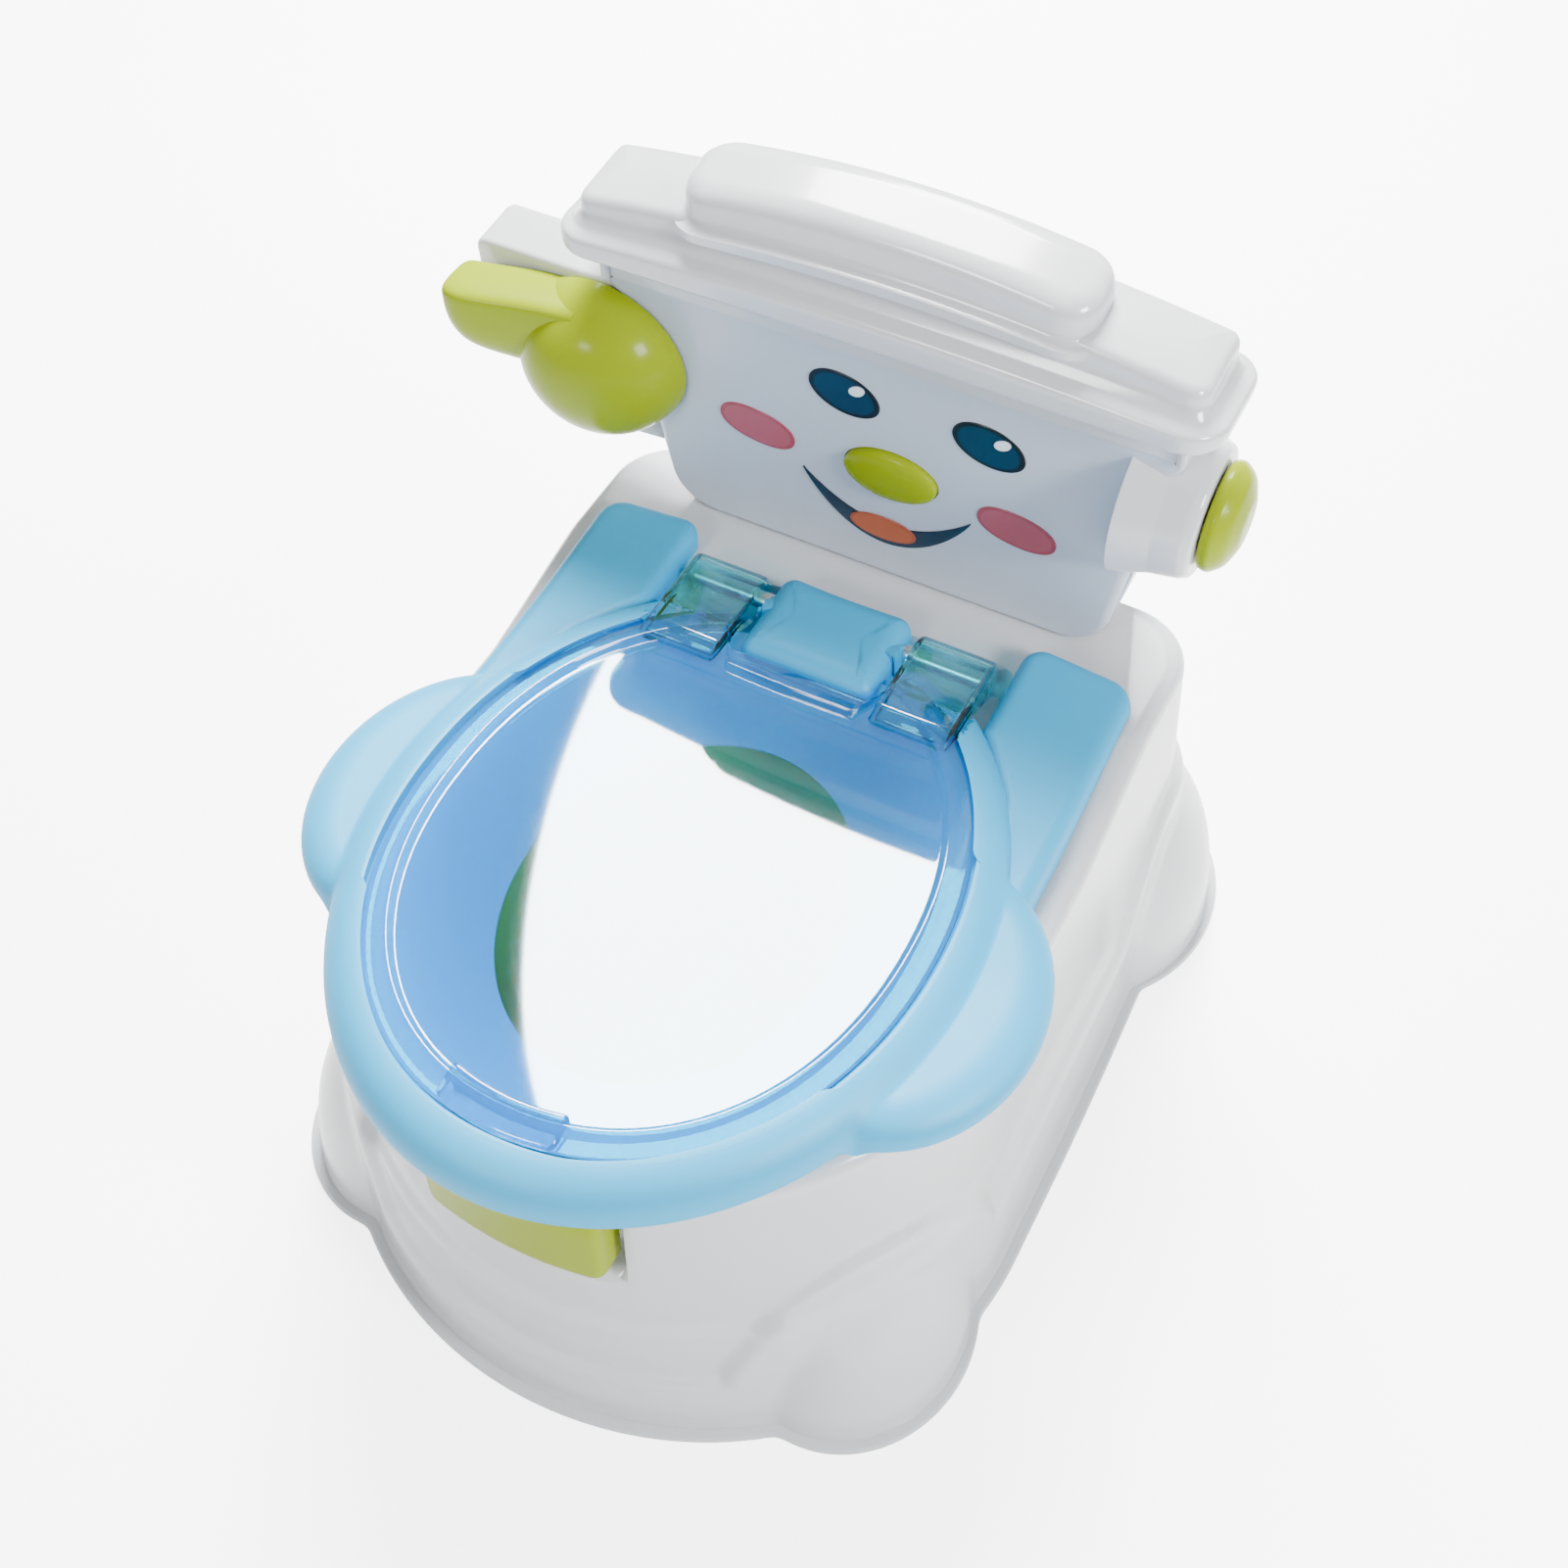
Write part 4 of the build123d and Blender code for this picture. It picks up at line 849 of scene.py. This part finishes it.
def rear_shell():
    """Rear shell of the cistern: its box less the room inside, the battery bay's window and the
    speaker's holes."""
    solid = make_mesh("rear_shell", [tank_box(0, FACE_Z, SEAM_Z - 0.3, PANEL_DEPTH + 0.2, 0, 9.0)])
    room = tank_box(WALL, FACE_Z + WALL, SEAM_Z + 5, -10, WALL, 7.0)
    window = box_grid(-69.3, -14.7, 108, 170, 191.7, 230.3)
    cutters = [room, window]
    for x in (43.0, 47.5, 52.0, 56.5, 61.0):
        hole = stack(oval_outline(1.6, 1.6, 24), [(0, 0), (0, 60)], None, None, 1)
        cutters.append(np.stack([hole[..., 0] + x, hole[..., 2] + 105, hole[..., 1] + 208], axis=2))
    return carve(solid, cutters)


def cap_arch(x, end, middle, half):
    """Arc-like arch: middle at x = 0 falling by the square of x to the end height."""
    return end + (middle - end) * (1 - np.clip(np.abs(x) / half, 0, 1) ** 2)


def cap_skin(settings):
    """Cap of the cistern as rings of a rounded outline: skirt, flared lip with a round edge, a
    hollow cove and the crown, all but the skirt rising in an arch."""
    corners = [(-125, 73.5), (125, 73.5), (125, 124), (-125, 124)]
    outline = closed_outline(corners, [15, 15, 12, 12], 560)
    front_share = np.clip((100 - outline[:, 1]) / 14, 0, 1)
    lip = settings.lip_round / MM
    profile = rounded(
        [(12.3, 287.0), (12.0, 300.0), (0.4, 305.0), (0.0, 313.0), (4.8, 315.0), (8.0, 319.0), (8.2, 326.0),
         (30.0, 329.0)],
        [5.0, 3.0, lip, 3.0, 5.0, 4.0], 7)

    def lift(x, y, h):
        share = np.clip((h - 303) / 12, 0, 1)
        crown = np.clip((h - 315) / 10, 0, 1)
        rise = 5.0 * share + 5.5 * crown
        fall = 2.0 * crown * np.clip((100 - y) / 22, -0.4, 1)
        return h + rise * (1 - np.clip(np.abs(x) / 122, 0, 1) ** 2) - 1.2 * share - fall

    normal = outward(outline)
    inset = profile[:, 0, None]
    tuck = 4.6 * front_share - 4.4 * (1 - front_share)
    skirt_pull = np.where(profile[:, 1, None] < 304, tuck, 0)
    reach = inset + skirt_pull * np.abs(normal[:, 1])[None]
    xy = outline[None] - reach[..., None] * normal[None]
    xy = xy[:-1]
    heights = np.repeat(profile[:-1, 1:], len(outline), axis=1)
    core = np.stack([np.clip(xy[-1][:, 0], -104, 104), np.full(len(outline), 98.5)], axis=1)
    t = np.linspace(0, 1, 9)[1:, None, None]
    top = xy[-1] + (core - xy[-1]) * t
    low_core = np.stack([np.clip(xy[0][:, 0], -100, 100), np.full(len(outline), 100.0)], axis=1)
    low = xy[0] + (low_core - xy[0]) * t[::-1]
    all_xy = np.concatenate([low, xy, top])
    crown_h = heights[-1:] + 1.5 * np.sin(np.linspace(0, 1, 9)[1:, None] * math.pi / 2)
    all_h = np.concatenate([np.repeat(heights[:1], 8, 0), heights, crown_h])
    z = lift(all_xy[..., 0], all_xy[..., 1], all_h)
    return np.concatenate([all_xy, z[..., None]], axis=2)


def raised_skin():
    """Raised bar on the crown: a long rounded pillow with a flared foot, higher at the rear."""
    outline = closed_outline([(-76, 80.5), (76, 80.5), (76, 112), (-76, 112)], [13, 13, 13, 13], 360)
    flare = [(-4.5 + 4.5 * math.sin(a), 4.5 * (1 - math.cos(a))) for a in np.linspace(0, math.pi / 2, 6)]
    profile = [(-4.0, -4.0)] + flare + quarter(7.0, 7.0, 9.5, 9)

    def lift(x, y, h):
        base = cap_arch(x, 325.0, 335.5, 118.0)
        slope = 3.5 * np.clip((y - 84) / 18, 0, 1) * np.clip((h - 5) / 8, 0, 1)
        return base - 2.4 + h * (1.0 - 0.15 * np.clip(np.abs(x) / 76, 0, 1) ** 2) + slope - 1.5

    return stack(outline, profile, lift, line_core(62, 0, 97), cap_rows=8)


def bracket_skin():
    """White carrier behind the lever: flat block in the face's plane with softened edges."""
    corners = [(-96, 206), (-86, 281.5), (-171.6, 281.5), (-171.6, 256), (-133, 203.0)]
    outline = closed_outline(corners, [1.0, 1.5, 5, 8, 7], 260)
    profile = [(0.4, -23.6), (0, -23.2)] + quarter(2.0, 2.0, -3.6, 6)
    grid = stack(outline, profile, None, None, cap_rows=5)
    climb = math.hypot(1, LEAN)
    grid = np.stack([grid[..., 0], (grid[..., 1] - LEVER_Z) * climb, grid[..., 2]], axis=2)
    return on_face(grid, 0, LEVER_Z)


def hub_skin():
    """Bulb of the lever: a dome about the axle whose height is 30 (1 - rho^2.4)^0.55, drawn out a
    little to the lower right."""
    columns, count = 140, 34
    t = np.arange(columns) * TAU / columns
    rho = np.sin(np.linspace(0, math.pi / 2, count))[:, None]
    swell = 1 + 0.035 * np.cos(t + 0.7)
    x = 34.6 * rho * np.cos(t) * swell
    y = 33.4 * rho * np.sin(t) * swell + 1.6
    out = 0.8 + 29.6 * np.maximum(1 - rho ** 2.4, 0) ** 0.55 * (1 + 0 * t)
    dome_rows = np.stack([x, y, out], axis=2)[::-1]
    base = np.stack([x[-1:] * 0.0, y[-1:] * 0.0, np.full((1, columns), 0.6)], axis=2)
    rim = np.stack([x[-1:] * 0.985, y[-1:] * 0.985, np.full((1, columns), 0.6)], axis=2)
    return on_face(np.concatenate([base, rim, dome_rows]), LEVER_X, LEVER_Z)


def lever_arm_skin():
    """Arm of the lever carried from the bulb to its round end: flat on top, its front and belly a
    quarter ellipse, its end drawn in along a quarter circle."""
    count, rows = 96, 44
    s = np.linspace(0, 1, rows)
    x = -118.0 - 53.5 * np.sin(s * math.pi / 2)
    shrink = np.sqrt(np.maximum(1 - np.clip((s - 0.35) / 0.65, 0, 1) ** 3.2, 0))
    t = np.arange(count) * TAU / count
    c, q = np.cos(t), np.sin(t)
    yy = np.sign(c) * np.abs(c) ** 0.7
    zz = np.where(q > 0, np.abs(q) ** 0.5 * 0.42, -np.abs(q) ** 0.9)
    depth = 12.4 * (0.25 + 0.75 * shrink)
    depth[-1] = 0.02
    belly = (30.0 - 13.0 * s) * (0.25 + 0.75 * shrink) + 1.5
    middle_y = 86.0 - 8.5 * ease(s / 0.7)
    top = 277.6 - 5.5 * (1 - shrink) ** 2
    crest = 14.0 * (0.3 + 0.7 * shrink)
    grid = np.zeros((rows, count, 3))
    grid[..., 0] = x[:, None]
    grid[..., 1] = middle_y[:, None] - depth[:, None] * yy[None]
    up = np.where(q > 0, crest[:, None] * zz[None], belly[:, None] * zz[None])
    centre = top - crest * 0.42
    grid[..., 2] = centre[:, None] + up
    ends = []
    for ring in (grid[0], grid[-1]):
        ends.append(np.broadcast_to(ring.mean(axis=0), ring.shape)[None])
    return np.concatenate([ends[0], grid, ends[1]])


def boss_skin():
    """Round boss that flows out of the cistern's side: a hollow flare, a drum and a round edge."""
    profile = rounded([(94, 0.0), (94, 31.0), (108, 27.0), (118, 25.6), (122, 24.0), (122, 5.3), (106, 5.3),
                       (106, 0.0)], [0, 8, 6, 2.5, 1.5, 0.6, 0], 7)
    grid = turned(profile)
    return grid + np.array([0, BOSS_Y, BOSS_Z])


def disc_skin():
    """Domed end disc on its stem."""
    profile = rounded([(108, 0.0), (108, 4.8), (122.7, 4.8), (122.7, 19.6), (126.5, 20.6), (131.5, 17.0),
                       (134.6, 9.0), (135, 0.0)], [0.4, 0.4, 1.5, 3.0, 9.0, 12.0], 7)
    return turned(profile, 96) + np.array([0, BOSS_Y, BOSS_Z])


def nose_skin():
    """Oval push button: skirt, short side and a low dome, out = 1.2 + 3.8 sqrt(1 - rho^2.5)."""
    outline = oval_outline(19.0, 11.5, 160)
    rho = np.sin(np.linspace(math.pi / 2, 0, 16))
    rows = [(1.06, -4.2), (1.06, -2.9), (1.0, -2.8), (1.0, 0.6)]
    rows += [(r, 1.2 + 3.7 * math.sqrt(max(1 - r ** 2.5, 0))) for r in rho]
    scale, out = np.array([(0.0, -4.2)] + rows).T
    grid = np.concatenate([outline[None] * scale[:, None, None],
                           np.repeat(out[:, None, None], len(outline), 1)], axis=2)
    return on_face(grid, NOSE_X, NOSE_Z)


def rim_marks(rows, caps):
    """One value for each ring of a patch: 0 in the middle of each side to 1 at the edge."""
    marks = np.ones(rows)
    marks[:caps] = np.linspace(0, 1, caps + 1)[:-1]
    marks[-caps:] = np.linspace(1, 0, caps + 1)[1:]
    return marks


def film(outline, x, z, lift=0.0):
    """Thin printed patch on the face and its rim marks, 0 in the middle to 1 at the edge."""
    grid = stack(outline, [(0, 0.02 + lift), (0, 0.3 + lift), (0.15, 0.42 + lift)], None, None, 24)
    return on_face(grid, x, z), rim_marks(len(grid), 24)


def smile_film():
    """Crescent between two arcs through the mouth's corners, thin at both ends."""
    t = np.linspace(-1, 1, 90)
    upper = np.stack([t * 35, -17.0 * (1 - t ** 2) + 0.25], axis=1)
    lower = np.stack([t[::-1] * 35, -27.0 * (1 - t[::-1] ** 2) ** 0.9 - 0.25], axis=1)
    outline = even(np.vstack([lower[::-1], upper[::-1]]), 300)

    def core(points):
        middle = -22.0 * (1 - (points[:, 0] / 35) ** 2)
        return np.stack([points[:, 0] * 0.985, middle], axis=1)

    grid = stack(outline, [(0, 0.02), (0, 0.3), (0.1, 0.42)], None, core, 8)
    return on_face(grid, 2.0, 222.0), rim_marks(len(grid), 8)


def add_print(name, patch, ink, nodes):
    """Puts a printed patch, its grid and its rim marks, on the base as a piece."""
    grid, marks = patch
    add_piece(name, make_mesh(name, [grid], rim=marks), ink, "base", nodes)


# ---------------------------------------------------------------- shapes of the pot

def bowl_skin():
    """Pot as ovals from the flange down its outside and up its inside: rx from the profile and
    ry 6 mm larger."""
    profile = rounded([(0, 56.2), (60, 56.2), (87.5, 160.0), (88.5, 162.4), (96, 162.4), (96, 164.8),
                       (85.6, 164.8), (57.5, 58.7), (0, 58.7)], [9, 2, 0.6, 0.8, 0.8, 1.8, 8], 7)
    t = np.arange(200) * TAU / 200
    grid = np.stack([profile[:, :1] * np.cos(t),
                     (profile[:, :1] + 6 * np.clip(profile[:, :1] / 50, 0, 1)) * np.sin(t) + SEAT_Y,
                     np.repeat(profile[:, 1:], 200, 1)], axis=2)
    return grid


def handle_mesh():
    """Pot handle: a rounded front plate with returned ends, hollow behind, bowed like the shell."""
    outline = closed_outline([(-35.5, 108.0), (35.5, 108.0), (35.5, 164.0), (-35.5, 164.0)],
                             [5, 5, 3, 3], 240)
    profile = [(0, -12.5), (0, -11.5)] + quarter(3.2, 3.2, -3.2, 7)
    outer = stack(outline, profile, None, line_core(8, 0, 136), 8)
    room = stack(outline, [(2.6, -20), (2.6, -4.4), (3.4, -3.4)], None, line_core(8, 0, 136), 8)

    def place(grid):
        x, z, out = grid[..., 0], grid[..., 1], grid[..., 2]
        lean = 9.0 * ease((z - 141) / 24)
        return np.stack([x, -189.0 + 0.0033 * x ** 2 + lean - out, z], axis=2)

    return carve(make_mesh("handle", [place(outer)]), [place(room)])


# ---------------------------------------------------------------- settings

class ChairSettings(bpy.types.PropertyGroup):
    """Sizes and colours of the finished surfaces."""

    white_colour: FloatVectorProperty(
        name="White", description="Colour of the base, cistern and cap", subtype="COLOR",
        default=(0.61, 0.62, 0.64), min=0, max=1)
    seat_colour: FloatVectorProperty(
        name="Seat blue", description="Colour of the seat", subtype="COLOR",
        default=(0.008, 0.37, 0.67), min=0, max=1)
    lid_colour: FloatVectorProperty(
        name="Lid tint", description="Tint of the clear lid", subtype="COLOR",
        default=(0.004, 0.70, 0.87), min=0, max=1)
    lime_colour: FloatVectorProperty(
        name="Lime", description="Colour of the pot, lever, nose and disc", subtype="COLOR",
        default=(0.26, 0.33, 0.001), min=0, max=1)
    shoulder_round: FloatProperty(
        name="Shoulder radius", description="Rounding between the base's wall and its deck",
        default=0.007, min=0.003, max=0.009, unit="LENGTH")
    fender_step: FloatProperty(
        name="Fender step", description="Height of the soft step round the corner lobes",
        default=0.0052, min=0.0, max=0.007, unit="LENGTH")
    lid_rim: FloatProperty(
        name="Lid rim", description="Width of the raised rim of the lid",
        default=0.012, min=0.009, max=0.014, unit="LENGTH")
    face_round: FloatProperty(
        name="Face edge radius", description="Largest rounding of the cistern's side edges",
        default=0.009, min=0.004, max=0.010, unit="LENGTH")
    lip_round: FloatProperty(
        name="Cap lip radius", description="Rounding of the lip of the cap",
        default=0.003, min=0.001, max=0.0038, unit="LENGTH")


# ---------------------------------------------------------------- operators

class CHAIR_OT_base(bpy.types.Operator):
    """Hollow base with its lobes, fender step, deck and well"""

    bl_idname = "potty_chair.base"
    bl_label = "Base Shell"

    def execute(self, context):
        settings = context.scene.potty_chair
        shell = make_mesh("base_shell_skin", [base_skin(settings)], sharp=40, loop=True)
        add_piece("base_shell_skin", shell, white_plastic(settings), "base", ["base_shell"])
        return {"FINISHED"}


class CHAIR_OT_seat(bpy.types.Operator):
    """Seat ring with ears and funnel, the two rear pads and the pillow between the lid's arms"""

    bl_idname = "potty_chair.seat"
    bl_label = "Seat"

    def execute(self, context):
        settings = context.scene.potty_chair
        ring = make_mesh("seat_ring", [ring_skin()], 40, loop=True)
        add_piece("seat_ring", ring, blue_plastic(settings), "seat", ["seat_top"])
        for name, side in (("seat_pad_right", 1), ("seat_pad_left", -1)):
            add_piece(name, make_mesh(name, [pad_skin(side)], 40), blue_plastic(settings), "seat", [])
        add_piece("seat_hump", make_mesh("seat_hump", [hump_skin()], 40), blue_plastic(settings), "seat",
                  [])
        return {"FINISHED"}


class CHAIR_OT_lid(bpy.types.Operator):
    """Clear lid: plate with its raised rim, the front tab and two hollow arms"""

    bl_idname = "potty_chair.lid"
    bl_label = "Lid"

    def execute(self, context):
        settings = context.scene.potty_chair
        tint = clear_azure(settings)
        thin = clear_azure(settings, "Thin Clear Azure Plastic", 0.25)
        plate = make_mesh("lid_plate", [lid_skin(settings)], 40)
        add_piece("lid_plate", plate, tint, "lid", ["lid"])
        add_piece("lid_tab", make_mesh("lid_tab", [tab_skin()], 40), tint, "lid", [])
        for name, side in (("lid_arm_right", 1), ("lid_arm_left", -1)):
            outside = make_mesh(name, [arm_skin(side, 32.2, 64.0, 0.0, 2.4)], 40)
            hollow = make_mesh(name + "_hollow", [arm_skin(side, 34.4, 61.6, -2.4, 0.6)], 40)
            hollow.flip_normals()
            add_piece(name, join_meshes(name, [outside, hollow], 40), thin, "lid", [])
        return {"FINISHED"}


class CHAIR_OT_pot(bpy.types.Operator):
    """Removable pot: bowl with its flange and the hollow front handle"""

    bl_idname = "potty_chair.pot"
    bl_label = "Pot"

    def execute(self, context):
        settings = context.scene.potty_chair
        bowl = make_mesh("pot_bowl", [bowl_skin()], 40)
        add_piece("pot_bowl", bowl, lime_plastic(settings), "pot", ["pot"])
        add_piece("pot_handle", handle_mesh(), lime_plastic(settings), "pot", [])
        return {"FINISHED"}


class CHAIR_OT_cistern(bpy.types.Operator):
    """Cistern: leaning face panel, rear shell, carrier of the lever and the side boss"""

    bl_idname = "potty_chair.cistern"
    bl_label = "Cistern"

    def execute(self, context):
        settings = context.scene.potty_chair
        white = white_plastic(settings)
        # The face's colour is the white times (0.86, 0.92, 1.0), darker and bluer: painted shade on the
        # cistern's front face, not a plastic of its own colour.
        painted_shade_white = tuple(c * k for c, k in zip(settings.white_colour, (0.86, 0.92, 1.0)))
        face = moulded("Satin White Plastic With Painted Shade", painted_shade_white, 0.32, bump=0.012, coat=0.15)
        add_piece("cistern_face", face_panel(settings), face, "base", ["tank_front"])
        add_piece("cistern_rear", rear_shell(), white, "base", ["tank_back"])
        add_piece("lever_carrier", make_mesh("lever_carrier", [bracket_skin()]), white, "base",
                  ["lever_bracket"])
        boss = make_mesh("side_boss_skin", [boss_skin()], 40)
        add_piece("side_boss_skin", boss, white, "base", ["side_boss"])
        return {"FINISHED"}


class CHAIR_OT_cap(bpy.types.Operator):
    """Cap: skirt, lip, cove and arched crown, with the raised bar on top"""

    bl_idname = "potty_chair.cap"
    bl_label = "Cistern Cap"

    def execute(self, context):
        settings = context.scene.potty_chair
        white = white_plastic(settings)
        shell = make_mesh("cap_shell", [cap_skin(settings)], 40)
        room = box_grid(-108, 108, 84, 117, 270, 312)
        add_piece("cap_shell", carve(shell, [room], 40), white, "cap", ["tank_cap"])
        add_piece("cap_bar", make_mesh("cap_bar", [raised_skin()], 40), white, "cap", [])
        return {"FINISHED"}


class CHAIR_OT_lever(bpy.types.Operator):
    """Flush lever: its bulb about the axle and its arm"""

    bl_idname = "potty_chair.lever"
    bl_label = "Flush Lever"

    def execute(self, context):
        settings = context.scene.potty_chair
        lime = lime_plastic(settings)
        add_piece("lever_bulb", make_mesh("lever_bulb", [hub_skin()], 50), lime, "lever",
                  ["flush_lever"])
        add_piece("lever_arm", make_mesh("lever_arm", [lever_arm_skin()], 50), lime, "lever", [])
        return {"FINISHED"}


class CHAIR_OT_buttons(bpy.types.Operator):
    """Nose button and the disc on the side boss"""

    bl_idname = "potty_chair.buttons"
    bl_label = "Nose and Disc"

    def execute(self, context):
        settings = context.scene.potty_chair
        lime = lime_plastic(settings)
        add_piece("nose_dome", make_mesh("nose_dome", [nose_skin()], 50), lime, "nose", ["nose_button"])
        add_piece("end_disc", make_mesh("end_disc", [disc_skin()], 50), lime, "disc", ["side_disc"])
        return {"FINISHED"}


class CHAIR_OT_face(bpy.types.Operator):
    """Printed face: two eyes with glints, two cheeks, and a smile with its tongue"""

    bl_idname = "potty_chair.face"
    bl_label = "Printed Face"

    def execute(self, context):
        black = (0.004, 0.005, 0.008)
        navy = printed_ink("Navy Eye Ink", (0.004, 0.028, 0.062), black, 0.86)
        white = printed_ink("White Glint Ink", (0.85, 0.90, 0.92), (0.7, 0.8, 0.85), 0.93)
        pink = printed_ink("Pink Cheek Ink", (0.40, 0.085, 0.11), (0.34, 0.06, 0.08), 0.90)
        mouth = printed_ink("Navy Mouth Ink", (0.006, 0.028, 0.055), black, 0.97)
        tilt = math.radians(14)
        for name, x, z in (("eye_left", -15.0, 267.0), ("eye_right", 42.0, 264.5)):
            first = name == "eye_left"
            add_print(name, film(oval_outline(14.5, 9.5, 120, 2.0, -tilt), x, z), navy,
                      ["eyes"] if first else [])
            glint = film(oval_outline(3.4, 2.3, 60, 2.0, 0.5), x + 5.2, z + 3.4, 0.42)
            add_print(name + "_glint", glint, white, ["eye_glints"] if first else [])
        for name, x, z in (("cheek_left", -52.0, 235.0), ("cheek_right", 55.0, 227.0)):
            cheek = film(oval_outline(16.0, 8.5, 120, 2.2, -math.radians(9)), x, z)
            add_print(name, cheek, pink, ["cheeks"] if name == "cheek_left" else [])
        add_print("smile_print", smile_film(), mouth, ["smile"])
        orange = printed_ink("Orange Tongue Ink", (0.46, 0.10, 0.035), (0.36, 0.07, 0.03), 0.92)
        tongue = film(oval_outline(14.0, 6.2, 90), 1.0, 203.4, 0.42)
        add_print("tongue_print", tongue, orange, ["tongue"])
        return {"FINISHED"}


class CHAIR_OT_fittings(bpy.types.Operator):
    """Finishes of the parts shown as they are: pins, springs, feet, bay, cells and board"""

    bl_idname = "potty_chair.fittings"
    bl_label = "Fittings"

    def execute(self, context):
        settings = context.scene.potty_chair
        steel = metal("Plated Steel", (0.66, 0.67, 0.68), 0.28)
        spring = metal("Spring Steel", (0.52, 0.53, 0.55), 0.34)
        contact = metal("Nickel Contacts", (0.72, 0.70, 0.64), 0.25)
        rubber = moulded("Grey Rubber", (0.10, 0.11, 0.12), 0.75, bump=0.06)
        board = moulded("Green Board", (0.02, 0.14, 0.06), 0.35, cloud=0.15)
        black = moulded("Black Plastic", (0.02, 0.02, 0.024), 0.45, bump=0.04)
        wrap = moulded("Cell Wrap", (0.05, 0.07, 0.10), 0.2, coat=0.3)
        white = white_plastic(settings)
        finishes = {
            steel: ("hinge_pins", "lever_axle", "door_screw", "panel_screws"),
            spring: ("nose_spring", "lever_spring"),
            contact: ("cell_contacts",),
            rubber: ("rubber_feet",),
            board: ("sound_board",),
            black: ("speaker", "battery_case", "lever_switch", "lever_cam"),
            wrap: ("cells",),
            white: ("tank_shelf", "bracket_cover", "battery_door"),
        }
        for finish, names in finishes.items():
            for name in names:
                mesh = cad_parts[name].data
                mesh.materials.clear()
                mesh.materials.append(finish)
        return {"FINISHED"}


class CHAIR_OT_stage(bpy.types.Operator):
    """Studio: pale floor, near-white surroundings, soft boxes and the camera"""

    bl_idname = "potty_chair.stage"
    bl_label = "Studio"

    def execute(self, context):
        scene = bpy.context.scene
        floor_mesh = bpy.data.meshes.new("floor")
        floor_mesh.from_pydata([(-4, -4, 0), (4, -4, 0), (4, 4, 0), (-4, 4, 0)], [], [(0, 1, 2, 3)])
        pale = moulded("Pale Floor", (0.93, 0.93, 0.93), 0.6, cloud=0.01, smear=0.02, bump=0.0)
        glow = pale.node_tree.nodes["Principled BSDF"]
        glow.inputs["Emission Color"].default_value = (1, 1, 1, 1)
        camera_gain(pale.node_tree, glow.inputs["Emission Strength"], 4.0, 0.0)
        floor_mesh.materials.append(pale)
        floor = bpy.data.objects.new("floor", floor_mesh)
        scene.collection.objects.link(floor)
        world = bpy.data.worlds.new("Studio")
        world.use_nodes = True
        backdrop = world.node_tree.nodes["Background"]
        backdrop.inputs["Color"].default_value = (0.95, 0.97, 1.0, 1)
        camera_gain(world.node_tree, backdrop.inputs["Strength"], 5.0, 0.4)
        scene.world = world

        def soft_box(name, place, target, wide, high, watts, turn=None):
            lamp = bpy.data.lights.new(name, "AREA")
            lamp.shape = "RECTANGLE" if turn is None else "ELLIPSE"
            lamp.size, lamp.size_y = wide, high
            lamp.energy = watts
            body = bpy.data.objects.new(name, lamp)
            body.location = place
            if turn is None:
                aim = Vector(target) - Vector(place)
                body.rotation_euler = aim.to_track_quat("-Z", "Y").to_euler()
            else:
                body.rotation_euler = (0, 0, turn)
            scene.collection.objects.link(body)

        soft_box("box_above", (-0.39, 0.92, 1.4), (-0.39, 0.92, 0), 0.62, 1.32, 150, turn=0.20)
        soft_box("box_right", (1.2, -0.3, 0.9), (0, 0, 0.15), 0.35, 0.35, 26)
        soft_box("box_front", (-0.3, -1.4, 1.1), (0, 0, 0.15), 0.4, 0.3, 12)
        camera = bpy.data.cameras.new("camera")
        camera.lens, camera.sensor_width = 45.04, 36.0
        seat = bpy.data.objects.new("camera", camera)
        seat.location = (0.218404, -0.405933, 0.732870)
        seat.rotation_euler = (math.radians(90 - 51.5228), 0, math.radians(27.3424))
        scene.collection.objects.link(seat)
        scene.camera = seat
        return {"FINISHED"}


OPERATORS = (CHAIR_OT_base, CHAIR_OT_seat, CHAIR_OT_lid, CHAIR_OT_pot, CHAIR_OT_cistern, CHAIR_OT_cap,
             CHAIR_OT_lever, CHAIR_OT_buttons, CHAIR_OT_face, CHAIR_OT_fittings, CHAIR_OT_stage)


class CHAIR_PT_panel(bpy.types.Panel):
    """Settings and one button for each group of pieces"""

    bl_idname = "CHAIR_PT_panel"
    bl_label = "Potty Chair"
    bl_space_type = "VIEW_3D"
    bl_region_type = "UI"
    bl_category = "Potty Chair"

    def draw(self, context):
        settings = context.scene.potty_chair
        for name in ("white_colour", "seat_colour", "lid_colour", "lime_colour", "shoulder_round",
                     "fender_step", "lid_rim", "face_round", "lip_round"):
            self.layout.prop(settings, name)
        for kind in OPERATORS:
            self.layout.operator(kind.bl_idname)


CLASSES = (ChairSettings,) + OPERATORS + (CHAIR_PT_panel,)


def register():
    """Registers the settings, the operators and the panel."""
    for kind in CLASSES:
        bpy.utils.register_class(kind)
    bpy.types.Scene.potty_chair = PointerProperty(type=ChairSettings)


def unregister():
    """Takes the settings, the operators and the panel away again."""
    del bpy.types.Scene.potty_chair
    for kind in reversed(CLASSES):
        bpy.utils.unregister_class(kind)


def main():
    """Builds every group in order."""
    register()
    for kind in OPERATORS:
        group, action = kind.bl_idname.split(".")
        getattr(getattr(bpy.ops, group), action)()


if __name__ == "__main__":
    main()
